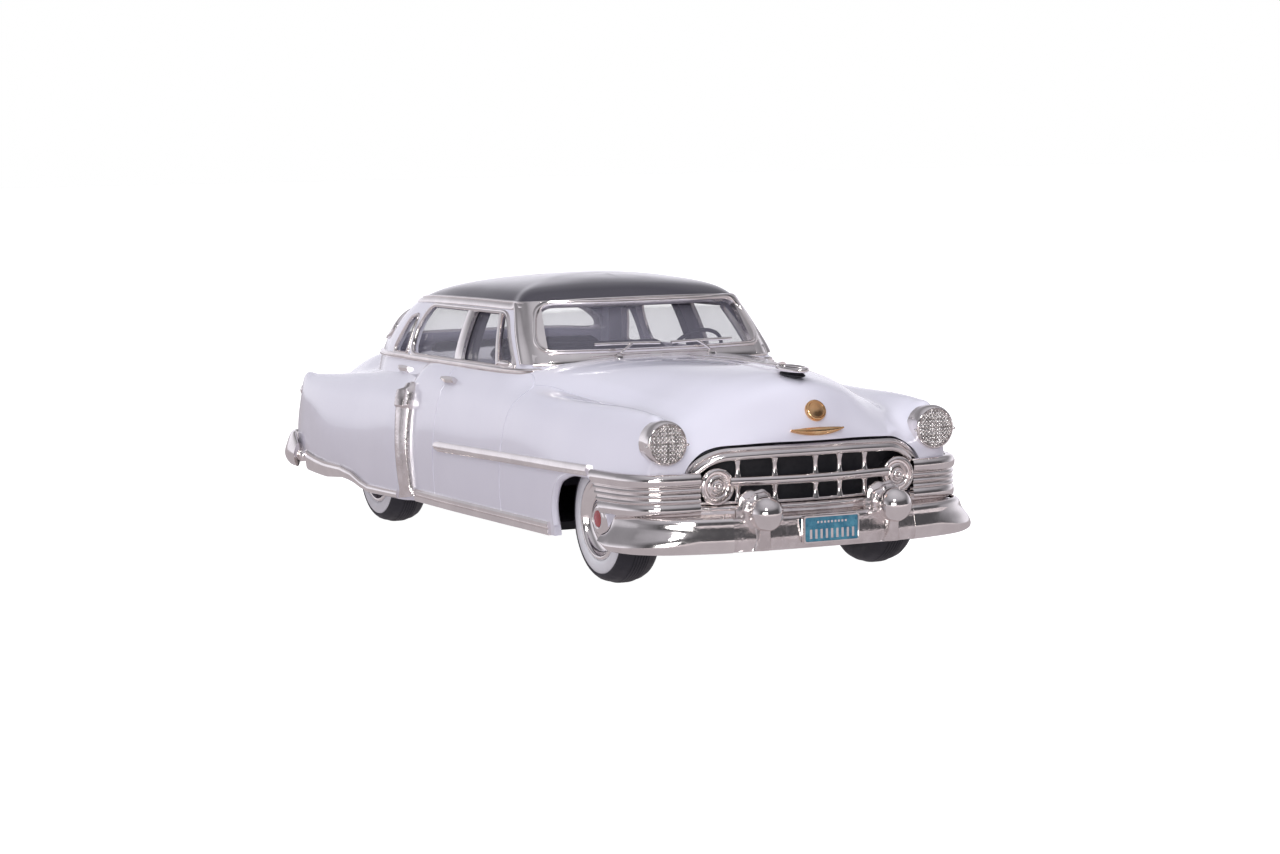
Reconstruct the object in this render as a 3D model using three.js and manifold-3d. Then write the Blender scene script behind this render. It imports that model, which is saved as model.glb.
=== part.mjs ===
// A diecast collector car: a two-tone saloon with plated trim, rolling on two axles.
// Millimetres. +Z is up, the car faces -Y, and its left side is +X. The wheels stand on Z = 0.
import * as THREE from "three";
import { mergeVertices } from "three/addons/utils/BufferGeometryUtils.js";
import Module from "manifold-3d";

const wasm = await Module();
wasm.setup();

// ---------- driving dimensions ----------
const HALF_LENGTH = 66.6;
const FRONT_AXLE_Y = -43.2;
const REAR_AXLE_Y = 31.6;
const TYRE_RADIUS = 7.9;
const TYRE_WIDTH = 5.5;
const RIM_RADIUS = 4.85;
const FRONT_WHEEL_FACE = 20.3;
const REAR_WHEEL_FACE = 20.1;
const AXLE_RADIUS = 0.8;
const WALL = 0.9;
const ROOF_WALL = 0.8;
const GAP = 0.25;
const HEADLAMP = { x: 18, y: -57.2, z: 17.95, radius: 2.72 };
const PARKING_LAMP = { x: 12.1, y: -58.4, z: 12.7, radius: 2.2 };
const TAIL_LAMP = { x: 19.75, y: 60.5, z: 16.9, radius: 1.05 };
const GUARD = { x: 8.55, z: 9.8, radius: 2.05 };
const BUMPER_FACE_Y = -64;
const REAR_GUARD_X = 9.4;
const STEERING_WHEEL = { x: 10.6, y: -8.6, z: 25.2, radius: 3.6 };

const COLOURS = {
  body_paint: { color: 0xe9e8ef, roughness: 0.18, metalness: 0 },
  plated: { color: 0xc9c3bd, roughness: 0.16, metalness: 1 },
  tyre: { color: 0x1b1b1f, roughness: 0.75, metalness: 0 },
  whitewall: { color: 0xeeeeee, roughness: 0.5, metalness: 0 },
  glazing: { color: 0xdfe3ea, roughness: 0.05, metalness: 0 },
  interior: { color: 0x54525e, roughness: 0.6, metalness: 0 },
  backing: { color: 0x1c1b22, roughness: 0.6, metalness: 0 },
  base: { color: 0x202024, roughness: 0.45, metalness: 0 },
  steel: { color: 0x9a9a9e, roughness: 0.35, metalness: 1 },
  gold: { color: 0xd9a24c, roughness: 0.25, metalness: 1 },
  plate: { color: 0x3f8fb8, roughness: 0.4, metalness: 0 },
  red_lens: { color: 0xa3161a, roughness: 0.15, metalness: 0 },
};

const group = new THREE.Group();
const V = (x, y, z) => new THREE.Vector3(x, y, z);

// ---------- solids ----------
function closedMesh(geometry) {
  const bare = geometry.index ? geometry.toNonIndexed() : geometry.clone();
  bare.deleteAttribute("normal");
  bare.deleteAttribute("uv");
  const merged = mergeVertices(bare, 1e-4);
  const kept = [];
  const index = merged.index.array;
  for (let i = 0; i < index.length; i += 3) {
    const [a, b, c] = [index[i], index[i + 1], index[i + 2]];
    if (a !== b && b !== c && c !== a) kept.push(a, b, c);
  }
  merged.setIndex(kept);
  return merged;
}

function solidOf(geometry) {
  const merged = closedMesh(geometry);
  const make = (triVerts) =>
    new wasm.Manifold(
      new wasm.Mesh({ numProp: 3, vertProperties: merged.attributes.position.array, triVerts }),
    );
  const triVerts = new Uint32Array(merged.index.array);
  const solid = make(triVerts);
  return solid.volume() > 0 ? solid : make(triVerts.reverse());
}

function geometryOf(solid) {
  const mesh = solid.getMesh();
  const geometry = new THREE.BufferGeometry();
  geometry.setAttribute("position", new THREE.BufferAttribute(mesh.vertProperties, 3));
  geometry.setIndex(new THREE.BufferAttribute(mesh.triVerts, 1));
  geometry.computeVertexNormals();
  return geometry;
}

function addPart(name, solid, colour) {
  const mesh = new THREE.Mesh(geometryOf(solid), new THREE.MeshStandardMaterial(COLOURS[colour]));
  mesh.name = name;
  group.add(mesh);
  return mesh;
}

const mirrored = (solid) => solid.mirror([1, 0, 0]);

function addPair(name, leftSolid, colour) {
  addPart(`${name}_left`, leftSolid, colour);
  addPart(`${name}_right`, mirrored(leftSolid), colour);
}

function joined(solids) {
  return solids.reduce((whole, next) => whole.add(next));
}

function fromTriangles(points) {
  const geometry = new THREE.BufferGeometry();
  geometry.setAttribute(
    "position",
    new THREE.Float32BufferAttribute(
      points.flatMap((p) => [p.x, p.y, p.z]),
      3,
    ),
  );
  return geometry;
}

// The cap of a compact ring: triangles from its centre.
function fan(ring) {
  const centre = V(0, 0, 0);
  ring.forEach((p) => centre.addScaledVector(p, 1 / ring.length));
  return ring.map((p, j) => [centre, p, ring[(j + 1) % ring.length]]);
}

// The cap of a thin sheet's ring, whose second half runs back beside its first: rungs between the halves.
function ladder(ring) {
  const last = ring.length - 1;
  const triangles = [];
  for (let k = 0; k < (last - 1) / 2; k++) {
    const [a, b, c, d] = [ring[k], ring[k + 1], ring[last - k - 1], ring[last - k]];
    triangles.push([a, b, c], [a, c, d]);
  }
  return triangles;
}

// Closed rings of equal length, joined in order, with a cap over each end.
function loft(rings, cap = fan) {
  const points = [];
  const count = rings[0].length;
  for (let i = 0; i + 1 < rings.length; i++) {
    for (let j = 0; j < count; j++) {
      const k = (j + 1) % count;
      const [a, b, c, d] = [rings[i][j], rings[i][k], rings[i + 1][k], rings[i + 1][j]];
      points.push(a, b, c, a, c, d);
    }
  }
  for (const [a, b, c] of cap(rings[0])) points.push(a, c, b);
  for (const [a, b, c] of cap(rings[rings.length - 1])) points.push(a, b, c);
  return solidOf(fromTriangles(points));
}

// A prism whose outline lies in the YZ plane, from one X to another.
function prismX(shape, x0, x1) {
  const geometry = new THREE.ExtrudeGeometry(shape, {
    depth: x1 - x0,
    bevelEnabled: false,
    curveSegments: 5,
  });
  const turn = new THREE.Matrix4().set(0, 0, 1, x0, 1, 0, 0, 0, 0, 1, 0, 0, 0, 0, 0, 1);
  return solidOf(geometry.applyMatrix4(turn));
}

// A prism whose outline lies in the XZ plane, from one Y to another.
function prismY(shape, y0, y1) {
  const geometry = new THREE.ExtrudeGeometry(shape, {
    depth: y1 - y0,
    bevelEnabled: false,
    curveSegments: 5,
  });
  const turn = new THREE.Matrix4().set(1, 0, 0, 0, 0, 0, 1, y0, 0, 1, 0, 0, 0, 0, 0, 1);
  return solidOf(geometry.applyMatrix4(turn));
}

function box(x0, x1, y0, y1, z0, z1) {
  const geometry = new THREE.BoxGeometry(x1 - x0, y1 - y0, z1 - z0);
  return solidOf(geometry.translate((x0 + x1) / 2, (y0 + y1) / 2, (z0 + z1) / 2));
}

// A solid of revolution: the profile's points are [radius, distance along the axis].
function turned(profile, segments, axis, place) {
  const geometry = new THREE.LatheGeometry(
    profile.map(([r, along]) => new THREE.Vector2(r, along)),
    segments,
  );
  geometry.applyQuaternion(new THREE.Quaternion().setFromUnitVectors(V(0, 1, 0), axis));
  return solidOf(geometry.translate(place.x, place.y, place.z));
}

function roundedOutline(points, radius) {
  const shape = new THREE.Shape();
  const at = (i) => new THREE.Vector2(...points[(i + points.length) % points.length]);
  points.forEach((_, i) => {
    const here = at(i);
    const toLast = at(i - 1).sub(here);
    const toNext = at(i + 1).sub(here);
    const cut = Math.min(radius, toLast.length() / 2, toNext.length() / 2);
    const start = here.clone().add(toLast.setLength(cut));
    const end = here.clone().add(toNext.setLength(cut));
    if (i) shape.lineTo(start.x, start.y);
    else shape.moveTo(start.x, start.y);
    shape.quadraticCurveTo(here.x, here.y, end.x, end.y);
  });
  shape.closePath();
  return shape;
}

const straightOutline = (points) => new THREE.Shape(points.map((p) => new THREE.Vector2(...p)));

// ---------- smooth surfaces through a net of points ----------
function smoothLine(points, perSpan) {
  const curve = new THREE.CatmullRomCurve3(points, false, "centripetal");
  const spans = points.length - 1;
  const line = [];
  for (let i = 0; i < spans * perSpan; i++) line.push(curve.getPoint(i / (spans * perSpan)));
  line.push(points[spans].clone());
  return line;
}

const flipX = (p) => V(-p.x, p.y, p.z);

// Smooths one row that starts (and perhaps ends) on the car's centre plane, where it crosses squarely.
function smoothRow(row, perSpan, endsOnCentre) {
  const longer = [flipX(row[1]), ...row];
  if (endsOnCentre) longer.push(flipX(row[row.length - 2]));
  const line = smoothLine(longer, perSpan);
  return line.slice(perSpan, endsOnCentre ? line.length - perSpan : line.length);
}

function transposed(net) {
  return net[0].map((_, j) => net.map((row) => row[j]));
}

// Unit normals of a net, facing away from the car's middle.
function netNormals(net) {
  const middle = V(0, 0, 14);
  return net.map((row, i) =>
    row.map((p, j) => {
      const along = net[Math.min(i + 1, net.length - 1)][j].clone().sub(net[Math.max(i - 1, 0)][j]);
      const across = row[Math.min(j + 1, row.length - 1)].clone().sub(row[Math.max(j - 1, 0)]);
      const normal = along.cross(across).normalize();
      const outward = V(p.x, (p.y - middle.y) * 0.35, p.z - middle.z);
      if (normal.dot(outward) < 0) normal.negate();
      if (Math.abs(p.x) < 1e-6) normal.setX(0).normalize();
      return normal;
    }),
  );
}

function offsetNet(net, distance) {
  const normals = netNormals(net);
  return net.map((row, i) => row.map((p, j) => p.clone().addScaledVector(normals[i][j], distance)));
}

function netTriangles(net) {
  const points = [];
  for (let i = 0; i + 1 < net.length; i++) {
    for (let j = 0; j + 1 < net[i].length; j++) {
      const [a, b, c, d] = [net[i][j], net[i][j + 1], net[i + 1][j + 1], net[i + 1][j]];
      points.push(a, b, c, a, c, d);
      points.push(...[a, c, b, a, d, c].map(flipX));
    }
  }
  return points;
}

// Joins an edge line on one side of the car to the same line on the other side.
function bridge(line, turnedOver) {
  const points = [];
  for (let i = 0; i + 1 < line.length; i++) {
    const [a, b, c, d] = [line[i], line[i + 1], flipX(line[i + 1]), flipX(line[i])];
    points.push(...(turnedOver ? [a, c, b, a, d, c] : [a, b, c, a, c, d]));
  }
  return points;
}

// ---------- body surface: ribs from the tail to the nose ----------
// Each rib runs from the centre line over the hood or deck, the valley beside it, the fender crest,
// the side and down to the sill.
const rib = (y, lean, pairs) => pairs.map(([x, z]) => V(x, y + (z - 5) * lean, z));
const GUARD_LEAN = 0.1;

const BODY_RIBS = [
  [[0, 62, 8.6], [8, 61.8, 8.6], [13.5, 61.5, 8.6], [17, 61.2, 8.6], [19.6, 60.9, 8.6],
    [20.7, 60.5, 8.6], [21.3, 59.9, 8.5], [21.6, 59.2, 8.3], [21.8, 58.4, 8]],
  [[0, 61.8, 12.5], [8, 61.6, 12.5], [13.5, 61.3, 12.4], [17, 61.1, 12.2], [19.6, 61.8, 12.5],
    [20.8, 61.3, 11.8], [21.5, 60, 10.8], [21.8, 58.9, 9.6], [21.9, 57.8, 7.8]],
  [[0, 61, 16.3], [8, 60.7, 16], [13.4, 60.2, 15.2], [17, 59.7, 14.8], [19.7, 61.2, 16.6],
    [20.9, 60.4, 15], [21.7, 58.7, 12.3], [22, 57.6, 9.8], [22, 56.6, 7.6]],
  [[0, 58.8, 19.8], [8, 58.3, 19.3], [13.3, 57.6, 18], [17, 57.3, 16.9], [19.8, 60.1, 19.4],
    [21.1, 58.5, 17.3], [22, 56.3, 13], [22.3, 55.5, 9.8], [22.2, 54.8, 7.2]],
  [[0, 55.2, 22.3], [8, 54.8, 21.9], [13.3, 54.2, 20.7], [17, 54.2, 18.8], [19.8, 55.8, 19.6],
    [21.4, 54.8, 17.7], [22.3, 53.2, 13], [22.6, 52.6, 9.8], [22.4, 52, 6.9]],
  rib(47, 0, [[0, 24], [8, 23.7], [13.4, 22.6], [16.9, 20.2], [19.7, 20], [21.7, 18], [22.8, 13],
    [22.9, 9.5], [22.5, 5.6]]),
  rib(39, 0, [[0, 24.4], [8, 24], [13.6, 22.9], [16.9, 21], [19.6, 20.5], [21.8, 18.2], [23, 13],
    [23.1, 9.5], [22.6, 6]]),
  rib(27, 0, [[0, 24.8], [9, 24.6], [15, 23.9], [17.8, 22.3], [19.8, 20.8], [21.9, 18.4], [23.1, 13],
    [23.1, 9], [22.7, 4.9]]),
  rib(13.6, GUARD_LEAN, [[0, 25], [9, 24.8], [15.5, 24.2], [18.3, 22.9], [20.3, 21], [22.1, 18.7],
    [23.1, 13], [23.1, 9], [22.7, 5]]),
  rib(11.6, GUARD_LEAN, [[0, 25], [9, 24.8], [15.5, 24.3], [18.8, 23.5], [20.4, 22], [21.6, 19.4],
    [22.6, 13.5], [22.6, 9], [22.3, 5.1]]),
  rib(0, 0, [[0, 25], [9, 24.9], [15.5, 24.4], [18.9, 23.6], [20.5, 22], [21.7, 19.6], [22.7, 13.5],
    [22.7, 9], [22.4, 5]]),
  rib(-14, 0, [[0, 25.4], [9, 25.1], [15.5, 24.5], [18.7, 23.7], [20.4, 22], [21.7, 19.7], [22.7, 13.5],
    [22.7, 9], [22.4, 5]]),
  rib(-22, 0, [[0, 25.7], [8.5, 25.4], [14.5, 24.4], [18, 22.8], [20.2, 21.6], [21.7, 19.7], [22.7, 13.5],
    [22.7, 9], [22.4, 5]]),
  rib(-31, 0, [[0, 25.8], [8, 25.3], [13.2, 23.6], [16.6, 21.7], [19.8, 21.5], [21.6, 19.4], [22.7, 13.5],
    [22.7, 9], [22.4, 5.1]]),
  rib(-40, 0, [[0, 25.8], [7.4, 25], [12.2, 22.7], [15.4, 21], [19, 21.5], [21.3, 19], [22.7, 13.6],
    [22.7, 9.5], [22.4, 5.3]]),
  rib(-48, 0, [[0, 25.6], [7, 24.6], [11.6, 22.2], [14.9, 20.6], [18.5, 21.5], [21, 18.7], [22.4, 13.6],
    [22.4, 10], [22.1, 6]]),
  rib(-53.5, 0, [[0, 25.2], [6.5, 23.9], [11.2, 21.2], [14.6, 19.7], [18.3, 21.2], [20.4, 18.3],
    [21.4, 14], [21.6, 10.5], [21.5, 7.2]]),
  [[0, -58.4, 24.1], [6.1, -57.3, 22.6], [10.9, -56.2, 19.9], [14.6, -55.4, 18.6], [18.2, -56.1, 20.8],
    [19.9, -55.9, 18], [20.7, -55.6, 14], [20.9, -55.4, 11], [21, -55, 8]],
  [[0, -60.6, 21.8], [5.8, -59.3, 20.4], [10.8, -58.1, 18.4], [14.7, -57, 17.2], [18.2, -57.2, 18.9],
    [19.6, -56.9, 16.9], [20.2, -56.6, 13.5], [20.5, -56.2, 11], [20.7, -55.8, 8.4]],
  [[0, -61.7, 18.8], [5.8, -60.8, 17.9], [10.8, -59.5, 16.9], [14.8, -58, 15.9], [18.1, -57.6, 16.2],
    [19.3, -57.2, 14.8], [19.9, -56.9, 12.6], [20.3, -56.5, 10.8], [20.6, -56.1, 8.7]],
  [[0, -61.6, 16.4], [5.8, -60.9, 16.1], [10.8, -59.8, 15.5], [14.8, -58.3, 14.5], [18, -57.7, 14],
    [19.1, -57.3, 13], [19.8, -57, 11.7], [20.2, -56.6, 10.4], [20.5, -56.2, 9]],
  [[0, -60, 9.2], [5.8, -59.5, 9.2], [10.8, -58.9, 9.2], [14.8, -58.1, 9.2], [18, -57.5, 9.2],
    [19, -57.2, 9.2], [19.7, -57, 9.2], [20.1, -56.7, 9.2], [20.45, -56.3, 9.2]],
].map((points) => points.map((p) => (p.isVector3 ? p : V(...p))));

function bodyNet(perRib, perLine) {
  const lines = transposed(BODY_RIBS).map((line) => smoothLine(line, perRib));
  return transposed(lines).map((row) => smoothRow(row, perLine, false));
}

function bodyHull(net) {
  const sill = net.map((row) => row[row.length - 1]);
  return solidOf(
    fromTriangles([
      ...netTriangles(net),
      ...bridge(sill, true),
      ...bridge(net[0], true),
      ...bridge(net[net.length - 1], false),
    ]),
  );
}

// The hollow inside the casting, open at the bottom.
function bodyHollow(net) {
  const inner = offsetNet(net, -WALL);
  const below = 3;
  inner.forEach((row, i) => {
    const last = row.length - 1;
    row[last].z = net[i][last].z - below;
    row[last].x = row[last - 1].x;
  });
  for (const i of [0, inner.length - 1]) inner[i].forEach((p) => (p.z -= below));
  return bodyHull(inner);
}

// ---------- greenhouse surface: posts from the windscreen's middle round to the rear window's ----------
const GREENHOUSE_POSTS = [
  [[0, -20.8, 23.6], [0, -19.9, 25.6], [0, -18.1, 28.6], [0, -16.3, 31.4], [0, -15.3, 32.8],
    [0, -13.2, 34.1], [0, -9.5, 35], [0, -4, 35.6]],
  [[9.4, -20, 23.6], [9.2, -19.1, 25.5], [8.8, -17.2, 28.5], [8.4, -15.3, 31.3], [8.2, -14.3, 32.7],
    [7.6, -12, 34], [4.6, -7.8, 35.1], [0, -3, 35.6]],
  [[17.4, -17.2, 23.4], [17.1, -16.2, 25.3], [16.4, -14, 28.3], [15.6, -11.9, 31.2], [15.1, -10.8, 32.4],
    [13.3, -8.8, 33.8], [7.6, -4.5, 35.1], [0, -1, 35.7]],
  [[18.5, -14.5, 23.4], [18.1, -13.2, 25.2], [17.2, -10.8, 28.2], [16, -8.6, 31.1], [15.3, -7.2, 32.4],
    [13.5, -5.5, 33.8], [7.8, -2, 35.2], [0, 1, 35.7]],
  [[18.7, 4, 23.4], [18.4, 4, 25.2], [17.4, 4, 28.2], [16.1, 4, 31.1], [15.4, 4, 32.4], [13.6, 4, 33.8],
    [8, 4, 35.1], [0, 4, 35.6]],
  [[18.5, 23, 23.4], [18.1, 22.5, 25.2], [17.1, 21.5, 28.2], [15.8, 20, 31], [15.1, 19, 32.2],
    [13.4, 17.5, 33.5], [8, 14, 34.7], [0, 10, 35.2]],
  [[17.4, 34, 23.2], [17, 33.4, 25.2], [16.1, 31.1, 28.2], [14.8, 28.2, 30.8], [14.1, 26.6, 31.8],
    [12.4, 24.2, 32.9], [7.5, 19.6, 34.2], [0, 15, 35]],
  [[13.6, 42.5, 23], [13.3, 40.7, 25.4], [12.5, 37.1, 28.4], [11.3, 33.2, 30.7], [10.7, 31.4, 31.5],
    [9.3, 28.6, 32.5], [5.8, 24, 33.7], [0, 20, 34.5]],
  [[0, 45.4, 23.3], [0, 43, 25.5], [0, 39.2, 28.4], [0, 35.2, 30.6], [0, 33.3, 31.4], [0, 30.6, 32.3],
    [0, 27.2, 33.2], [0, 24, 33.9]],
].map((post) => post.map((p) => V(...p)));

function greenhouseNet(perPost, perLevel) {
  const levels = transposed(GREENHOUSE_POSTS);
  const ridge = smoothLine(levels[levels.length - 1], perPost);
  const rings = levels.slice(0, -1).map((level) => smoothRow(level, perPost, true));
  const posts = transposed([...rings, ridge]);
  return posts.map((post, i) => {
    const beyond = i === 0 || i === posts.length - 1 ? ridge[i] : flipX(post[post.length - 2]);
    const line = smoothLine([...post, beyond.clone().setZ(beyond.z - 1e-3)], perLevel);
    return line.slice(0, line.length - perLevel);
  });
}

function greenhouseHull(net) {
  const foot = net.map((post) => post[0]);
  const posts = netTriangles(net);
  return solidOf(fromTriangles([...posts, ...bridge(foot, false)]));
}

function greenhouseHollow(net) {
  const inner = offsetNet(net, -ROOF_WALL);
  const throughBelt = 3;
  inner.forEach((post) => {
    post[post.length - 1].setX(0);
    post[0].z -= throughBelt;
  });
  for (const post of [inner[0], inner[inner.length - 1]]) post.forEach((p) => p.setX(0));
  return greenhouseHull(inner);
}

// ---------- body shell ----------
const bodySurface = bodyNet(1, 2);
const greenhouseSurface = greenhouseNet(2, 2);
const bodyOuter = bodyHull(bodySurface);
const greenhouseOuter = greenhouseHull(greenhouseSurface);

function skinOf(solid) {
  const skin = new THREE.Mesh(geometryOf(solid), new THREE.MeshBasicMaterial());
  skin.updateMatrixWorld(true);
  return skin;
}
const wholeSkin = skinOf(bodyOuter.add(greenhouseOuter));
const greenhouseSkin = skinOf(greenhouseOuter);

// The point where a line from far outside first meets the car's skin, and the skin's normal there.
function touch(from, direction, skin = wholeSkin) {
  const [hit] = new THREE.Raycaster(from, direction).intersectObject(skin);
  return { point: hit.point, normal: hit.face.normal };
}
const sideTouch = (y, z) => touch(V(60, y, z), V(-1, 0, 0));
const topTouch = (x, y) => touch(V(x, y, 90), V(0, 0, -1));
const frontTouch = (x, z) => touch(V(x, -120, z), V(0, 1, 0));
const screenTouch = (x, z) => touch(V(x, -120, z), V(0, 1, 0), greenhouseSkin).point;

const FRONT_ARCH = [[-50.6, 1], [-50.3, 8.4], [-49.2, 11.4], [-46.4, 13.5], [-41, 13.5], [-37, 12.2],
  [-35.2, 9.2], [-35.6, 5], [-36, 1]];
const WINDOW_SILL = 24.2;
const SIDE_WINDOW = [[-15, WINDOW_SILL], [-7.8, 31.2], [19, 31.2], [21.2, 28.6], [21.2, WINDOW_SILL]];
const QUARTER_WINDOW = [[22.6, WINDOW_SILL], [22.6, 29.8], [25.3, 29.2], [28.8, WINDOW_SILL]];
const WINDSCREEN = [[-15.9, 26.3], [-14.2, 32.1], [14.2, 32.1], [15.9, 26.3]];
const REAR_WINDOW = [[-16.4, 25.8], [-15.8, 27.5], [-14, 29.2], [-10, 30.2], [10, 30.2], [14, 29.2],
  [15.8, 27.5], [16.4, 25.8]];
const GRILLE_ARCH = [[-16.1, 8], [-16.1, 14.8], [-12.8, 17.3], [-6, 17.7], [6, 17.7], [12.8, 17.3],
  [16.1, 14.8], [16.1, 8]];

function pocket(lamp, depth) {
  const reach = 8;
  const r = lamp.radius + GAP;
  const profile = [[0, 0], [r, 0], [r, reach + depth], [0, reach + depth]];
  return turned(profile, 24, V(0, 1, 0), V(lamp.x, lamp.y - reach, lamp.z));
}

function tailPocket() {
  const { x, y, z, radius } = TAIL_LAMP;
  const r = radius + GAP;
  const reach = 4;
  return turned([[0, -GAP], [r, -GAP], [r, reach], [0, reach]], 16, V(0, 1, 0), V(x, y, z));
}

function bodyShell() {
  const hollow = bodyHollow(bodyNet(1, 1)).add(greenhouseHollow(greenhouseNet(2, 1)));
  const side = (outline, radius, x0, x1) => prismX(roundedOutline(outline, radius), x0, x1);
  const cuts = [];
  for (const sign of [-1, 1]) {
    const span = (x0, x1) => (sign > 0 ? [x0, x1] : [-x1, -x0]);
    cuts.push(side(FRONT_ARCH, 1.5, ...span(14, 26)));
    cuts.push(side(SIDE_WINDOW, 1.8, ...span(12, 24)));
    cuts.push(side(QUARTER_WINDOW, 1, ...span(10, 24)));
    for (const lamp of [pocket(HEADLAMP, 1.6), tailPocket()]) {
      cuts.push(sign > 0 ? lamp : mirrored(lamp));
    }
  }
  cuts.push(prismY(roundedOutline(WINDSCREEN, 1.8), -26, -9));
  cuts.push(prismY(roundedOutline(REAR_WINDOW, 1.8), 26, 46));
  cuts.push(prismY(roundedOutline(GRILLE_ARCH, 2), -70, -56.6));
  return bodyOuter.add(greenhouseOuter).subtract(joined([hollow, ...cuts]));
}
addPart("body_shell", bodyShell(), "body_paint");

// ---------- strips that lie on the skin ----------
// A moulding along a run of [y, z] points on the car's left side, standing off the skin by the gap.
// Its width at each point is across the run, and its section is a shallow dome.
function sideStrip(run, widthAt, thickness) {
  const count = run.length;
  const touches = run.map(([y, z]) => sideTouch(y, z));
  const rings = touches.map(({ point, normal }, i) => {
    const ahead = touches[Math.min(i + 1, count - 1)].point;
    const behind = touches[Math.max(i - 1, 0)].point;
    const along = ahead.clone().sub(behind).normalize();
    const up = normal.clone().cross(along).normalize();
    const half = widthAt(i / (count - 1)) / 2;
    const section = [[-half, GAP], [-half, GAP + thickness * 0.55], [-half * 0.5, GAP + thickness],
      [half * 0.5, GAP + thickness], [half, GAP + thickness * 0.55], [half, GAP]];
    return section.map(([across, out]) =>
      point.clone().addScaledVector(up, across).addScaledVector(normal, out));
  });
  return loft(rings);
}

function steps(from, to, count) {
  return Array.from({ length: count + 1 }, (_, i) => from + ((to - from) * i) / count);
}

const spearRun = steps(-45.9, 2.1, 14).map((y) => [y, 14.1 - (y + 46) * 0.017]);
addPair("side_spear", sideStrip(spearRun, (t) => 1.15 * Math.min(1, 0.12 + (1 - t) * 6), 0.5), "plated");

const rockerRun = steps(-34.4, 10.2, 10).map((y) => [y, 6]);
addPair("rocker_moulding", sideStrip(rockerRun, () => 1.7, 0.55), "plated");

const GUARD_STRIP = { low: 5.6, high: 20.3, y: 12.4 };
const gravelRun = steps(GUARD_STRIP.low, GUARD_STRIP.high, 8)
  .map((z) => [GUARD_STRIP.y + (z - 5) * GUARD_LEAN, z]);
addPair("gravel_guard", sideStrip(gravelRun, (t) => 2.9 + 0.9 * t ** 3, 1), "plated");

// The trim on the rear skirt: a wide blade behind the wheel that dips to a narrow strip across it.
const SKIRT = [
  { y: 15.6, z: 6, width: 1.1 },
  { y: 21, z: 6, width: 1.1 },
  { y: 27, z: 5.9, width: 1.1 },
  { y: 30, z: 6.3, width: 1.2 },
  { y: 33.5, z: 7, width: 1.4 },
  { y: 38, z: 6.9, width: 1.8 },
  { y: 44.5, z: 6.7, width: 2.4 },
  { y: 49, z: 6.9, width: 2.6 },
  { y: 53.2, z: 7.2, width: 2.9 },
];
function between(rows, at, key, value) {
  const passed = rows.filter((row) => row[key] < at).length;
  const i = Math.min(rows.length - 2, Math.max(0, passed - 1));
  const t = (at - rows[i][key]) / (rows[i + 1][key] - rows[i][key]);
  return rows[i][value] + (rows[i + 1][value] - rows[i][value]) * t;
}
const [SKIRT_FRONT, SKIRT_REAR] = [SKIRT[0].y, SKIRT[SKIRT.length - 1].y];
const skirtRun = steps(SKIRT_FRONT, SKIRT_REAR, 16).map((y) => [y, between(SKIRT, y, "y", "z")]);
const skirtWidth = (t) => between(SKIRT, SKIRT_FRONT + (SKIRT_REAR - SKIRT_FRONT) * t, "y", "width");
addPair("skirt_trim", sideStrip(skirtRun, skirtWidth, 0.5), "plated");

for (const [place, y, z] of [["front", 1.4, 21.6], ["rear", 22.4, 21.6]]) {
  const run = steps(y - 2, y + 2, 4).map((at) => [at, z]);
  addPair(`door_handle_${place}`, sideStrip(run, (t) => 0.5 + 0.5 * Math.sin(Math.PI * t), 0.75), "plated");
}

// ---------- side window frames: belt strip, top rail, B pillar and vent bar in one plated frame ----------
// The solid with each vertex moved to where the given function puts it.
function bent(solid, place) {
  const geometry = geometryOf(solid);
  const at = geometry.attributes.position;
  for (let i = 0; i < at.count; i++) {
    const moved = place(V(at.getX(i), at.getY(i), at.getZ(i)));
    at.setXYZ(i, moved.x, moved.y, moved.z);
  }
  return solidOf(geometry);
}

// The greenhouse's side is close to this slanted, slightly bowed plane.
function sidePlane(y, z) {
  const middle = 4;
  const bow = Math.max(0, y - middle) ** 2 * 0.0022 + Math.max(0, -y - 6) ** 2 * 0.003;
  return 18.38 - (z - 25.2) * 0.385 - bow;
}

function inset(points, amount) {
  const count = points.length;
  const area = points.reduce((sum, [x, y], i) => {
    const [u, v] = points[(i + 1) % count];
    return sum + (x * v - u * y) / 2;
  }, 0);
  const side = Math.sign(area);
  return points.map((p, i) => {
    const here = new THREE.Vector2(...p);
    const a = here.clone().sub(new THREE.Vector2(...points[(i + count - 1) % count])).normalize();
    const b = new THREE.Vector2(...points[(i + 1) % count]).sub(here).normalize();
    const na = new THREE.Vector2(-a.y, a.x).multiplyScalar(side);
    const nb = new THREE.Vector2(-b.y, b.x).multiplyScalar(side);
    const reach = amount / (1 + na.dot(nb));
    return [here.x + (na.x + nb.x) * reach, here.y + (na.y + nb.y) * reach];
  });
}

const B_PILLAR = { bottom: 4, top: 4.3, width: 2.4 };
const VENT_BAR = { bottom: -9.8, top: -5.9, width: 0.7 };

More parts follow.
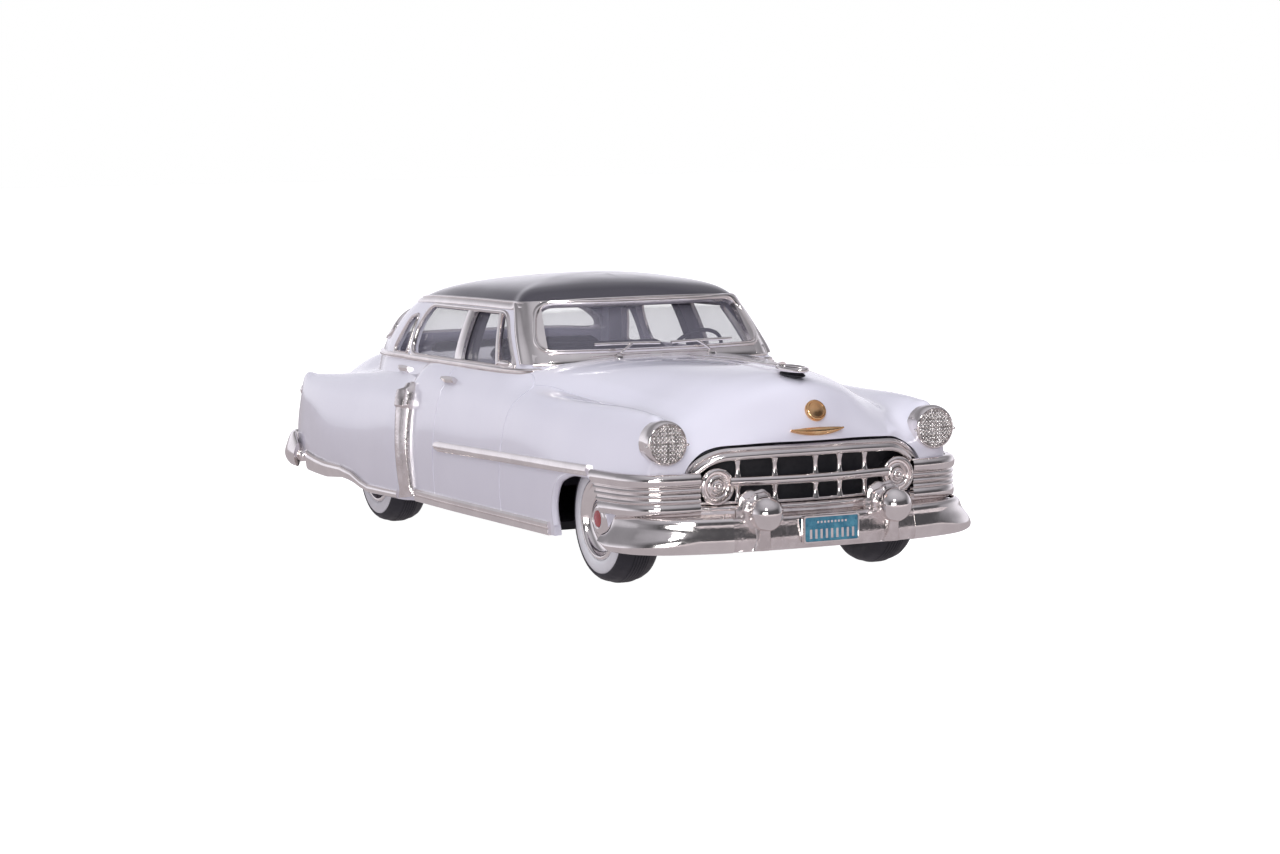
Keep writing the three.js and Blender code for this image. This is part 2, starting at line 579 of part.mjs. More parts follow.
function sideWindowFrame() {
  const frame = roundedOutline(inset(SIDE_WINDOW, GAP), 1.6);
  const band = 0.75;
  const [floor, ceiling] = [WINDOW_SILL + GAP + band, 31.2 - GAP - band];
  const panes = [
    [[-13.3, floor], [-8, ceiling - 0.7], [-7.2, ceiling], [VENT_BAR.top - VENT_BAR.width / 2, ceiling],
      [VENT_BAR.bottom - VENT_BAR.width / 2, floor]],
    [[VENT_BAR.bottom + VENT_BAR.width / 2, floor], [VENT_BAR.top + VENT_BAR.width / 2, ceiling],
      [B_PILLAR.top - B_PILLAR.width / 2, ceiling], [B_PILLAR.bottom - B_PILLAR.width / 2, floor]],
    [[B_PILLAR.bottom + B_PILLAR.width / 2, floor], [B_PILLAR.top + B_PILLAR.width / 2, ceiling],
      [18.4, ceiling], [20.2, 28.4], [20.2, floor]],
  ];
  const openings = panes.map((pane) => prismX(roundedOutline(pane, 0.7), -1, 2));
  const flat = prismX(frame, 0, 1).subtract(joined(openings));
  const [depth, thickness] = [0.05, 0.6];
  return bent(flat, (p) => V(sidePlane(p.y, p.z) - depth - (1 - p.x) * thickness, p.y, p.z));
}
addPair("side_window_frame", sideWindowFrame(), "plated");

// ---------- glazing: sheets just inside the casting ----------
// Part of the greenhouse net between two depths, as one closed sheet. The net's first or last post, when
// it lies on the centre plane, is where the sheet carries on over the car's other side.
function sheet(net, outer, inner, centrePost) {
  const other = (half) => half.map((post) => post.map(flipX)).reverse();
  const whole = (half) => {
    if (centrePost === "first") return [...other(half.slice(1)), ...half];
    if (centrePost === "last") return [...half, ...other(half.slice(0, -1))];
    return half;
  };
  const top = whole(offsetNet(net, -outer));
  const bottom = whole(offsetNet(net, -inner));
  return loft(top.map((post, i) => [...post, ...[...bottom[i]].reverse()]), ladder);
}

const GLASS = { outer: 1.15, inner: 1.6 };
const windowNet = greenhouseNet(4, 1);
const glassRows = (from, to, levels) => windowNet.slice(from, to + 1).map((post) => post.slice(...levels));
function raised(net, share) {
  net.forEach((post) => (post[0] = post[0].clone().lerp(post[1], share)));
  return net;
}
const pane = (from, to, share, centrePost) =>
  sheet(raised(glassRows(from, to, [0, 4]), share), GLASS.outer, GLASS.inner, centrePost);
addPart("windscreen_glass", pane(0, 8, 0.75, "first"), "glazing");
addPart("rear_window_glass", pane(24, 32, 0.95, "last"), "glazing");
addPair("side_glazing", pane(11, 23, 0.4, "none"), "glazing");

// ---------- windscreen frame and wipers ----------
function windscreenFrame() {
  const band = 0.8;
  const stand = 0.5;
  const outer = inset(WINDSCREEN, -0.45);
  const inner = inset(WINDSCREEN, band - 0.45);
  const ring = (outline) => {
    const path = roundedOutline(outline, 2).getPoints(4);
    const even = [];
    for (let i = 0; i < path.length; i++) {
      const next = path[(i + 1) % path.length];
      const parts = Math.max(1, Math.round(path[i].distanceTo(next) / 3));
      for (let k = 0; k < parts; k++) even.push(path[i].clone().lerp(next, k / parts));
    }
    return even;
  };
  const outerRing = ring(outer);
  const innerRing = ring(inner);
  const count = 44;
  const sample = (points, i) => {
    const curve = new THREE.Path(points);
    curve.closePath();
    return curve.getPointAt((i % count) / count);
  };
  const sections = Array.from({ length: count }, (_, i) => {
    const a = sample(outerRing, i);
    const b = sample(innerRing, i);
    const skinA = screenTouch(a.x, a.y);
    const skinB = screenTouch(b.x, b.y);
    const lift = (p, out) => p.clone().add(V(0, -out * 0.85, out * 0.5));
    return [lift(skinA, GAP), lift(skinA, GAP + stand), lift(skinB, GAP + stand), lift(skinB, GAP)];
  });
  const points = [];
  sections.forEach((section, i) => {
    const next = sections[(i + 1) % count];
    section.forEach((p, j) => {
      const k = (j + 1) % section.length;
      points.push(p, section[k], next[k], p, next[k], next[j]);
    });
  });
  return solidOf(fromTriangles(points));
}
addPart("windscreen_frame", windscreenFrame(), "plated");

function rod(from, to, radius, sides) {
  const along = to.clone().sub(from);
  const profile = [[0, 0], [radius, 0], [radius, along.length()], [0, along.length()]];
  return turned(profile, sides, along.normalize(), from);
}

function wiper() {
  const pivot = V(6.6, -21.6, 26.4);
  const elbow = V(4.6, -21, 27.5);
  const inner = V(0.8, -21.3, 27.4);
  const outer = V(9.8, -20.6, 27.5);
  return joined([rod(pivot, elbow, 0.2, 6), rod(inner, elbow, 0.24, 6), rod(elbow, outer, 0.24, 6)]);
}
addPair("wiper", wiper(), "plated");

// ---------- front: bumper, grille, lamps, trims ----------
// Sweeps a section of [out, up] points along a plan path of [x, y] points, left and right alike.
function planSweep(path, sectionAt) {
  const curve = new THREE.CatmullRomCurve3(path.map(([x, y]) => V(x, y, 0)), false, "centripetal");
  const count = 26;
  const rings = steps(0, 1, count).map((t) => {
    const p = curve.getPoint(t);
    const along = curve.getTangent(t);
    const outward = V(along.y, -along.x, 0);
    return sectionAt(t).map(([out, up]) => p.clone().addScaledVector(outward, out).setZ(up));
  });
  return loft(rings);
}

function bothSides(halfPath) {
  return [...halfPath.slice(1).reverse().map(([x, y]) => [-x, y]), ...halfPath];
}

function frontBumper() {
  const half = [[0, BUMPER_FACE_Y], [8, -63.8], [15, -62.7], [20, -60.6], [22.6, -57.7], [23.4, -55],
    [23.6, -52.8]];
  const bar = planSweep(bothSides(half), (t) => {
    const fromEnd = Math.min(t, 1 - t);
    const end = Math.min(1, fromEnd * 22 + 0.55);
    const [low, high, mid] = [7.2 - 2 * end, 7.2 + 2.2 * end, 6.9];
    const inside = -0.75 - 0.9 * Math.min(1, fromEnd * 5);
    const flare = 1.1 * Math.max(0, 1 - fromEnd * 4.5);
    const setBack = -0.35 - flare * 1.1;
    return [[inside + setBack * 0.5, high - 0.5], [inside * 0.4 + setBack, high], [setBack, high - 0.3],
      [setBack * 0.5, mid + 1.1 * end], [0.1 + flare * 0.4, mid], [flare, mid - 0.9 * end],
      [flare * 0.9 - 0.2, low + 0.3], [inside * 0.6, low], [inside, low + 0.4]];
  });
  const bullet = [[0, 3], [2.7, 3], [2.5, 2.4], [1.95, 1.9], [1.9, 1.6]];
  for (const angle of steps(-0.3, Math.PI / 2, 5)) {
    bullet.push([Math.cos(angle) * GUARD.radius, 1 - Math.sin(angle) * GUARD.radius]);
  }
  bullet[bullet.length - 1][0] = 0;
  const lowest = HALF_LENGTH + (1 - GUARD.radius);
  const guards = [-1, 1].map((sign) =>
    turned(bullet, 14, V(0, 1, 0), V(sign * GUARD.x, -lowest, GUARD.z)));
  const feet = [-1, 1].map((sign) => {
    const x = sign * GUARD.x;
    const ring = (half, z, y0, y1) => [V(x - half, y0, z), V(x + half, y0, z), V(x + half * 0.5, y1, z),
      V(x - half * 0.5, y1, z)];
    return loft([ring(2.9, 5.6, -63, -64.2), ring(2.4, 6.8, -63, -64.5), ring(1.9, 8.6, -62.4, -64.8)]);
  });
  return joined([bar, ...guards, ...feet]);
}
addPart("front_bumper", frontBumper(), "plated");

const PLATE = { halfWidth: 3.7, low: 6, high: 9.2, thickness: 0.5 };
const plateBack = BUMPER_FACE_Y - 0.05 - GAP;
addPart("front_plate", box(-PLATE.halfWidth, PLATE.halfWidth, plateBack - PLATE.thickness, plateBack,
  PLATE.low, PLATE.high), "plate");

// The grille follows the nose: flat bars bent back by the square of their distance from the middle.
const GRILLE = { y: -61.4, bow: 0.0145, depth: 1.5 };
const GRILLE_FRAME = [[-15.7, 9.7], [-15.7, 14.6], [-12.6, 16.95], [-6, 17.3], [6, 17.3], [12.6, 16.95],
  [15.7, 14.6], [15.7, 9.7]];
const DIVIDERS = [-9.6, -5.2, 0, 3.3, 7];

function grille() {
  const [barLow, barHigh, floor, endX, half] = [12.75, 13.65, 10.5, 14.1, 0.25];
  const arch = (x) => 15.8 - Math.max(0, Math.abs(x) - 6) ** 2 * 0.03;
  const walls = [-10, ...DIVIDERS.slice(1), 10];
  const panes = [];
  for (let i = 0; i + 1 < walls.length; i++) {
    const [x0, x1] = [walls[i] + half, walls[i + 1] - half];
    panes.push([[x0, floor], [x1, floor], [x1, barLow], [x0, barLow]]);
    panes.push([[x0, barHigh], [x1, barHigh], [x1, arch(x1)], [x0, arch(x0)]]);
  }
  for (const sign of [-1, 1]) {
    panes.push([[10.3, floor], [endX, floor], [endX, 13.4], [12.4, arch(12.4)], [10.3, arch(10.3)]]
      .map(([x, z]) => [sign * x, z]));
  }
  const cuts = panes.map((pane) => prismY(straightOutline(pane), -1, GRILLE.depth + 1));
  const flat = prismY(roundedOutline(GRILLE_FRAME, 2), 0, GRILLE.depth).subtract(joined(cuts));
  const bowed = bent(flat, (p) => V(p.x, GRILLE.y + GRILLE.bow * p.x * p.x + p.y, p.z));
  const lampHole = pocket(PARKING_LAMP, 3);
  return bowed.subtract(lampHole.add(mirrored(lampHole)));
}
addPart("grille", grille(), "plated");
addPart("grille_backing", box(-13.4, 13.4, -56.9, -56.3, 10.2, 16.4), "backing");

function roundLamp(lamp, profile) {
  return turned(profile, 24, V(0, 1, 0), V(lamp.x, lamp.y, lamp.z));
}
addPair("headlamp", roundLamp(HEADLAMP, [[0, 1.3], [2.6, 1.3], [2.72, -0.3], [2.67, -0.9], [2.4, -1.1],
  [2.2, -0.8], [1.4, -1.05], [0, -1.25]]), "plated");
addPair("parking_lamp", roundLamp(PARKING_LAMP, [[0, -0.35], [2, -0.35], [2.2, -0.8], [2.05, -1.2],
  [1.6, -1.1], [1.2, -1.35], [0.6, -1.3], [0, -1.6]]), "plated");

// Ribbed plates from the grille's ends round the fender corners to the wheel arches.
const WRAP = { low: 9.5, high: 14.4, ribs: 5 };
function wrapTrim() {
  const path = [[16.4, -58.9], [18.4, -58.5], [19.9, -57.8], [20.9, -56.9], [21.7, -55.6], [22.35, -53.6],
    [22.95, -50.2]].map(([x, y]) => V(x, y, 0));
  const curve = new THREE.CatmullRomCurve3(path, false, "centripetal");
  const pitch = (WRAP.high - WRAP.low) / WRAP.ribs;
  const section = [[-0.35, WRAP.high], [-0.35, WRAP.low]];
  for (let i = 0; i < WRAP.ribs; i++) {
    const z = WRAP.low + i * pitch;
    section.push([0.05, z + 0.05], [0.32, z + pitch * 0.3], [0.32, z + pitch * 0.7]);
  }
  section.push([0.05, WRAP.high]);
  const rings = steps(0, 1, 12).map((t) => {
    const p = curve.getPoint(t);
    const along = curve.getTangent(t);
    const outward = V(along.y, -along.x, 0);
    const sweepBack = Math.max(0, t - 0.75) * 4;
    return section.map(([out, z]) =>
      p.clone().addScaledVector(outward, out).add(V(0, sweepBack * (z - WRAP.low) * 0.6, z)));
  });
  return loft(rings);
}
addPair("wrap_trim", wrapTrim(), "plated");

// ---------- ornaments on the hood ----------
function ellipsoid(rx, ry, rz, place, tilt) {
  const geometry = new THREE.SphereGeometry(1, 16, 10).scale(rx, ry, rz);
  geometry.rotateX(tilt);
  return solidOf(geometry.translate(place.x, place.y, place.z));
}

function hoodOrnament() {
  const at = topTouch(0, -53.5).point;
  const seat = 1.15;
  return ellipsoid(1.5, 5, 0.8, V(0, at.y, at.z + seat), 0.1);
}
addPart("hood_ornament", hoodOrnament(), "plated");

function hoodMedallion() {
  const { point, normal } = frontTouch(0.05, 20.9);
  const facing = V(0, normal.y, normal.z).normalize();
  const stand = 0.75;
  const disc = new THREE.CylinderGeometry(1.2, 1.3, 0.6, 20);
  disc.applyQuaternion(new THREE.Quaternion().setFromUnitVectors(V(0, 1, 0), facing));
  const centre = V(0, point.y, point.z).addScaledVector(facing, stand);
  return solidOf(disc.translate(centre.x, centre.y, centre.z));
}
addPart("hood_medallion", hoodMedallion(), "gold");

// ---------- rear: bumper and tail lamps ----------
function rearBumper() {
  const half = [[0, 65.6], [9, 65.5], [16, 65.1], [20.2, 64.3], [22.6, 62.7], [23.5, 60], [23.6, 56.4]];
  const bar = planSweep(bothSides(half).reverse(), (t) => {
    const fromEnd = Math.min(t, 1 - t);
    const grow = Math.min(1, fromEnd * 14 + 0.55);
    const depth = 0.42 + 0.58 * Math.min(1, fromEnd * 9);
    const [low, mid, high] = [6.1, 7.7, 7.7 + 3.3 * grow];
    return [[-2.2, high - 0.5], [-1.7, high], [-1.2, high - 0.3], [-0.35, mid + 1.3 * grow], [0, mid],
      [-0.2, mid - 0.8], [-0.9, low], [-1.7, low - 0.1], [-2.2, low + 0.4]]
      .map(([out, up]) => [out * depth, up]);
  });
  const guard = [[-1.7, 6], [-1.7, 11.4], [1.7, 11.4], [1.7, 6]];
  const guards = [-1, 1].map((sign) => {
    const outline = guard.map(([x, z]) => [sign * REAR_GUARD_X + x, z]);
    return prismY(roundedOutline(outline, 1), 64, HALF_LENGTH);
  });
  return joined([bar, ...guards]);
}
addPart("rear_bumper", rearBumper(), "plated");

function tailLamp() {
  const { x, y, z, radius } = TAIL_LAMP;
  const profile = [[0, 0], [radius, 0], [radius, 0.7], [radius * 0.8, 1.1], [radius * 0.4, 1.35], [0, 1.4]];
  return turned(profile, 16, V(0, 1, 0), V(x, y, z));
}
addPair("tail_lamp", tailLamp(), "red_lens");

// ---------- interior ----------
function interiorTub() {
  const outer = box(-13.9, 13.9, -20, 34.5, 9.4, 21.6);
  const shelf = box(-16.6, 16.6, -15.5, 26, 20.8, 21.6);
  return outer.add(shelf).subtract(box(-13.1, 13.1, -19.2, 33.7, 10.4, 23));
}
addPart("interior_tub", interiorTub(), "interior");

function bench(y, backTop) {
  const shape = roundedOutline([[y - 10, 10.8], [y - 10, 17.6], [y - 0.6, 17.2], [y + 1, backTop],
    [y + 3.4, backTop], [y + 4, 10.8]], 1.1);
  return prismX(shape, -12.6, 12.6);
}
addPart("front_seat", bench(4, 25.9), "interior");
addPart("rear_seat", bench(25.5, 25.4), "interior");

function dashboard() {
  const shape = roundedOutline([[-15.6, 22], [-15.6, 24.3], [-14, 25.1], [-11.8, 24.6], [-11.4, 22]], 0.8);
  return prismX(shape, -13.6, 13.6);
}
addPart("dashboard", dashboard(), "interior");

function steeringWheel() {
  const { x, y, z, radius } = STEERING_WHEEL;
  const axis = V(0, 0.75, 0.66).normalize();
  const rim = new THREE.TorusGeometry(radius, 0.3, 6, 22);
  rim.applyQuaternion(new THREE.Quaternion().setFromUnitVectors(V(0, 0, 1), axis));
  const hub = V(x, y, z);
  const parts = [solidOf(rim.translate(x, y, z))];
  const across = V(radius, 0, 0);
  parts.push(rod(hub.clone().sub(across), hub.clone().add(across), 0.24, 8));
  parts.push(rod(hub.clone().addScaledVector(axis, -3.4), hub.clone().addScaledVector(axis, 0.4), 0.5, 10));
  return joined(parts);
}
addPart("steering_wheel", steeringWheel(), "interior");

// ---------- base, axles and wheels ----------
const BASE = { low: 5.5, high: 6.5 };
const BEARING_X = 11;
const SCREWS = { front: -26, rear: 50 };
const SCREW_RADIUS = 1.3;

function baseplate() {
  const [wide, narrow] = [20.4, 13.6];
  const right = [[wide, -33], [wide, 21], [narrow, 21], [narrow, 42], [wide, 42], [wide, 52], [17, 57]];
  const left = right.map(([x, y]) => [-x, y]).reverse();
  const outline = [[narrow, -53.5], [narrow, -33], ...right, ...left, [-narrow, -33], [-narrow, -53.5]];
  const shape = new THREE.Shape(outline.map((p) => new THREE.Vector2(...p)));
  const geometry = new THREE.ExtrudeGeometry(shape, { depth: BASE.high - BASE.low, bevelEnabled: false });
  const parts = [solidOf(geometry.translate(0, 0, BASE.low))];
  const top = TYRE_RADIUS + AXLE_RADIUS + 0.7;
  const bores = [];
  for (const y of [FRONT_AXLE_Y, REAR_AXLE_Y]) {
    for (const x of [-BEARING_X, BEARING_X]) {
      parts.push(box(x - 1.5, x + 1.5, y - 2, y + 2, BASE.low + 0.2, top));
    }
    const bore = AXLE_RADIUS + 0.15;
    bores.push(rod(V(-14, y, TYRE_RADIUS), V(14, y, TYRE_RADIUS), bore, 16));
  }
  const wells = Object.values(SCREWS).map((y) =>
    rod(V(0, y, BASE.low - 1), V(0, y, BASE.high + 1), SCREW_RADIUS + 0.2, 14));
  return joined(parts).subtract(joined([...bores, ...wells]));
}
addPart("baseplate", baseplate(), "base");

for (const [place, y] of Object.entries(SCREWS)) {
  const head = rod(V(0, y, BASE.low + 0.1), V(0, y, BASE.high + 1.2), SCREW_RADIUS, 14);
  const slot = box(-2, 2, y - 0.25, y + 0.25, BASE.low - 0.4, BASE.low + 0.6);
  addPart(`base_screw_${place}`, head.subtract(slot), "steel");
}

// Wheel profiles are [radius, distance outward], with 0 at the wheel's outer face.
const TYRE_PROFILE = [[5, 0.2 - TYRE_WIDTH], [6.7, -TYRE_WIDTH], [7.5, 0.6 - TYRE_WIDTH],
  [TYRE_RADIUS, 1.7 - TYRE_WIDTH], [TYRE_RADIUS, -1.9], [7.65, -0.9], [7.2, -0.3], [6.85, -0.1],
  [6.72, -0.12], [6.72, -0.6], [5, -0.6], [5, 0.2 - TYRE_WIDTH]];
const WHITEWALL_PROFILE = [[5.02, -0.45], [6.58, -0.45], [6.55, -0.12], [5.8, 0], [5.02, -0.12],
  [5.02, -0.45]];
const DISC_DEPTH = 3.5;
const DISC_PROFILE = [[0, -DISC_DEPTH], [RIM_RADIUS, -DISC_DEPTH], [RIM_RADIUS, -0.15], [4.5, -0.05],
  [4.2, -0.8], [3.4, -1.15], [2.6, -0.85], [2.3, -0.35], [1.3, 0], [0, 0]];

function addAxle(place, y, faceX) {
  const centre = (x) => V(x, y, TYRE_RADIUS);
  const halfAxle = faceX - DISC_DEPTH - 0.1;
  addPart(`${place}_axle`, rod(centre(-halfAxle), centre(halfAxle), AXLE_RADIUS, 12), "steel");
  for (const [side, sign] of [["left", 1], ["right", -1]]) {
    const wheel = (profile, sides) => turned(profile, sides, V(1, 0, 0), centre(faceX));
    const put = (name, solid, colour) =>
      addPart(`${place}_${name}_${side}`, sign > 0 ? solid : mirrored(solid), colour);
    put("tyre", wheel(TYRE_PROFILE, 24), "tyre");
    put("whitewall", wheel(WHITEWALL_PROFILE, 24), "whitewall");
    put("wheel_disc", wheel(DISC_PROFILE, 20), "plated");
  }
}
addAxle("front", FRONT_AXLE_Y, FRONT_WHEEL_FACE);
addAxle("rear", REAR_AXLE_Y, REAR_WHEEL_FACE);

export default group;
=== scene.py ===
"""The looks of a diecast collector car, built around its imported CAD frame.

Lengths are millimetres in the car's own frame (+Z up, -Y towards the front, +X to the car's left) until
a mesh is made, where they become metres.
"""
import math

import bmesh
import bpy
import numpy as np
from mathutils import Matrix, Vector
from mathutils.bvhtree import BVHTree


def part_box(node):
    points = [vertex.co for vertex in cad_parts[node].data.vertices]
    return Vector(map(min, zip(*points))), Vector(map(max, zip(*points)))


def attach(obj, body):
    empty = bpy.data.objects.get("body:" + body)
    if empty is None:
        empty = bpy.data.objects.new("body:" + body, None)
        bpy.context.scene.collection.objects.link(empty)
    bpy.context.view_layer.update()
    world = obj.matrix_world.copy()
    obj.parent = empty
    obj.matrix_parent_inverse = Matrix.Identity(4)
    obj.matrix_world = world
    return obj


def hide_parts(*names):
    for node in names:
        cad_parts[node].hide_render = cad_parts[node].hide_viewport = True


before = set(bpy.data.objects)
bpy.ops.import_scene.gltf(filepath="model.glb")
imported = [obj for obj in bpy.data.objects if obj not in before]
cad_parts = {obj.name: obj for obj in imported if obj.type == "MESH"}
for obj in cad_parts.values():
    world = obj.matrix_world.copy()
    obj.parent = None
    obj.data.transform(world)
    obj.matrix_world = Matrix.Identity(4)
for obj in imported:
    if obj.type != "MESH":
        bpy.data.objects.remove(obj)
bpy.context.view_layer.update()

MM = 0.001
FLIP = np.array([-1.0, 1.0, 1.0])
LEFT, RIGHT = 1, -1
SIDES = {"left": LEFT, "right": RIGHT}


def node_box(node):
    low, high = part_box(node)
    return np.array(low) / MM, np.array(high) / MM


# ---------- materials ----------
def node_material(name):
    made = bpy.data.materials.new(name)
    made.use_nodes = True
    tree = made.node_tree
    return made, tree, tree.nodes["Principled BSDF"]


def noise(tree, scale, detail=4.0, stretch=(1, 1, 1)):
    where = tree.nodes.new("ShaderNodeTexCoord")
    mapping = tree.nodes.new("ShaderNodeMapping")
    mapping.inputs["Scale"].default_value = stretch
    texture = tree.nodes.new("ShaderNodeTexNoise")
    texture.inputs["Scale"].default_value = scale
    texture.inputs["Detail"].default_value = detail
    tree.links.new(where.outputs["Object"], mapping.inputs["Vector"])
    tree.links.new(mapping.outputs["Vector"], texture.inputs["Vector"])
    return texture.outputs["Fac"]


def ramp(tree, source, low, high, start=0.35, end=0.65):
    made = tree.nodes.new("ShaderNodeValToRGB")
    made.color_ramp.elements[0].position = start
    made.color_ramp.elements[1].position = end
    made.color_ramp.elements[0].color = (*low, 1)
    made.color_ramp.elements[1].color = (*high, 1)
    tree.links.new(source, made.inputs["Fac"])
    return made.outputs["Color"]


def spread(tree, source, low, high):
    made = tree.nodes.new("ShaderNodeMapRange")
    made.inputs["From Min"].default_value = 0.3
    made.inputs["From Max"].default_value = 0.7
    made.inputs["To Min"].default_value = low
    made.inputs["To Max"].default_value = high
    tree.links.new(source, made.inputs["Value"])
    return made.outputs["Result"]


def bump(tree, source, strength, distance):
    made = tree.nodes.new("ShaderNodeBump")
    made.inputs["Strength"].default_value = strength
    made.inputs["Distance"].default_value = distance * MM
    tree.links.new(source, made.inputs["Height"])
    return made.outputs["Normal"]


def finish_of(name, tones, roughness, grain, metallic=0.0, coat=0.0, tone_scale=90, alpha=1.0, stretch=(1, 1, 1)):
    """A surface whose colour drifts between two tones, with uneven gloss and a grain.

    grain is (noise scale per metre, bump strength, bump depth in mm)."""
    made, tree, shader = node_material(name)
    link = tree.links.new
    link(ramp(tree, noise(tree, tone_scale, 3.0, stretch), *tones), shader.inputs["Base Color"])
    link(spread(tree, noise(tree, tone_scale * 6, 5.0, stretch), *roughness), shader.inputs["Roughness"])
    grain_scale, strength, depth = grain
    link(bump(tree, noise(tree, grain_scale, 6.0, stretch), strength, depth), shader.inputs["Normal"])
    shader.inputs["Metallic"].default_value = metallic
    shader.inputs["Coat Weight"].default_value = coat
    shader.inputs["Coat Roughness"].default_value = 0.03
    shader.inputs["Alpha"].default_value = alpha
    return made


MATERIALS = {
    "white_paint": finish_of("white_enamel", ((0.775, 0.765, 0.875), (0.80, 0.79, 0.895)), (0.16, 0.24),
                             (700, 0.03, 0.02), coat=1.0),
    "black_paint": finish_of("black_enamel", ((0.030, 0.027, 0.040), (0.038, 0.034, 0.050)), (0.14, 0.22),
                             (700, 0.03, 0.02), coat=1.0),
    "plated": finish_of("nickel_plating", ((0.84, 0.80, 0.79), (0.93, 0.89, 0.875)), (0.07, 0.16),
                        (2600, 0.10, 0.05), metallic=1.0, tone_scale=240),
    "grainy": finish_of("cast_nickel_plating", ((0.76, 0.71, 0.70), (0.92, 0.87, 0.86)), (0.12, 0.26),
                        (3200, 0.32, 0.09), metallic=1.0, tone_scale=500),
    "tyre": finish_of("tyre_rubber", ((0.013, 0.013, 0.020), (0.022, 0.022, 0.032)), (0.42, 0.6),
                      (3000, 0.2, 0.04), tone_scale=200),
    "whitewall": finish_of("whitewall_band", ((0.76, 0.76, 0.81), (0.82, 0.82, 0.86)), (0.3, 0.42),
                           (2500, 0.08, 0.02), tone_scale=300),
    "interior": finish_of("grey_interior", ((0.062, 0.059, 0.078), (0.085, 0.081, 0.105)), (0.45, 0.62),
                          (3800, 0.3, 0.05), tone_scale=300),
    # Black for the grille's real backing, also used as painted shade: the strip along the grille's arch and the disc
    # and pads at the hood ornament.
    "backing": finish_of("black_backing_and_painted_shade", ((0.006, 0.006, 0.010), (0.012, 0.012, 0.018)), (0.5, 0.7),
                         (3000, 0.2, 0.03), tone_scale=300),
    "base": finish_of("base_enamel", ((0.010, 0.010, 0.013), (0.018, 0.018, 0.022)), (0.35, 0.5),
                      (2500, 0.2, 0.04), tone_scale=200),
    "steel": finish_of("turned_steel", ((0.42, 0.42, 0.44), (0.55, 0.55, 0.57)), (0.22, 0.36),
                       (3000, 0.2, 0.03), metallic=1.0, tone_scale=500, stretch=(1, 8, 8)),
    "gold": finish_of("gilt", ((0.80, 0.46, 0.22), (0.92, 0.62, 0.34)), (0.14, 0.26),
                      (2600, 0.12, 0.04), metallic=1.0, tone_scale=500),
    "plate": finish_of("plate_enamel", ((0.035, 0.20, 0.33), (0.10, 0.36, 0.50)), (0.25, 0.4),
                       (5200, 0.35, 0.05), metallic=0.35, coat=0.5, tone_scale=900),
    "red": finish_of("red_lacquer", ((0.36, 0.010, 0.016), (0.52, 0.02, 0.03)), (0.12, 0.2),
                     (1500, 0.1, 0.03), coat=1.0, tone_scale=600),
    "glass": finish_of("clear_glazing", ((0.30, 0.29, 0.36), (0.34, 0.33, 0.40)), (0.03, 0.07),
                       (400, 0.03, 0.02), tone_scale=60, alpha=0.22),
}


# ---------- curves and nets ----------
def smooth(points, per_span):
    """Centripetal Catmull-Rom through the points along the first axis, with per_span steps in each span."""
    p = np.asarray(points, float)
    padded = np.concatenate([[2 * p[0] - p[1]], p, [2 * p[-1] - p[-2]]])
    gap = np.linalg.norm(np.diff(padded, axis=0), axis=-1, keepdims=True) ** 0.5
    tiny = 1e-4
    out = []
    for i in range(len(p) - 1):
        a, b, c, d = padded[i : i + 4]
        middle = np.where(gap[i + 1] < tiny, 1.0, gap[i + 1])
        before = np.where(gap[i] < tiny, middle, gap[i])
        after = np.where(gap[i + 2] < tiny, middle, gap[i + 2])
        start = ((b - a) / before - (c - a) / (before + middle) + (c - b) / middle) * middle
        end = ((c - b) / middle - (d - b) / (middle + after) + (d - c) / after) * middle
        for t in np.arange(per_span) / per_span:
            out.append(b * (2 * t**3 - 3 * t**2 + 1) + start * (t**3 - 2 * t**2 + t)
                       + c * (3 * t**2 - 2 * t**3) + end * (t**3 - t**2))
    out.append(p[-1])
    return np.array(out)


def smooth_row(rows, per_span, ends_on_centre):
    """Smooths rows (first axis) that start, and perhaps end, on the centre plane, crossing it squarely."""
    longer = [rows[1] * FLIP, *rows]
    if ends_on_centre:
        longer.append(rows[-2] * FLIP)
    line = smooth(longer, per_span)
    return line[per_span : len(line) - (per_span if ends_on_centre else 0)]


def resampled(points, count, closed=False):
    """The line through the points at count even steps along its length."""
    p = np.asarray(points, float)
    if closed:
        p = np.vstack([p, p[:1]])
    along = np.concatenate([[0], np.cumsum(np.linalg.norm(np.diff(p, axis=0), axis=1))])
    at = np.linspace(0, along[-1], count + 1 if closed else count)
    out = np.stack([np.interp(at, along, p[:, k]) for k in range(p.shape[1])], axis=1)
    return out[:-1] if closed else out


def rounded(points, radius, steps=8):
    """A closed outline with its corners rounded, as a list of points."""
    p = np.asarray(points, float)
    out = []
    for i, here in enumerate(p):
        last, following = p[i - 1] - here, p[(i + 1) % len(p)] - here
        cut = min(radius, np.linalg.norm(last) / 2, np.linalg.norm(following) / 2)
        start = here + last / np.linalg.norm(last) * cut
        end = here + following / np.linalg.norm(following) * cut
        for t in np.linspace(0, 1, steps):
            out.append(start * (1 - t) ** 2 + here * 2 * t * (1 - t) + end * t**2)
    return np.array(out)


def inset(points, amount):
    p = np.asarray(points, float)
    following = np.roll(p, -1, axis=0)
    area = np.sum(p[:, 0] * following[:, 1] - following[:, 0] * p[:, 1]) / 2
    edge = following - p
    edge /= np.linalg.norm(edge, axis=1, keepdims=True)
    normal = np.stack([-edge[:, 1], edge[:, 0]], axis=1) * np.sign(area)
    before = np.roll(normal, 1, axis=0)
    reach = amount / (1 + np.sum(normal * before, axis=1, keepdims=True))
    return p + (normal + before) * reach


def unit(v):
    v = np.asarray(v, float)
    return v / np.maximum(np.linalg.norm(v, axis=-1, keepdims=True), 1e-12)


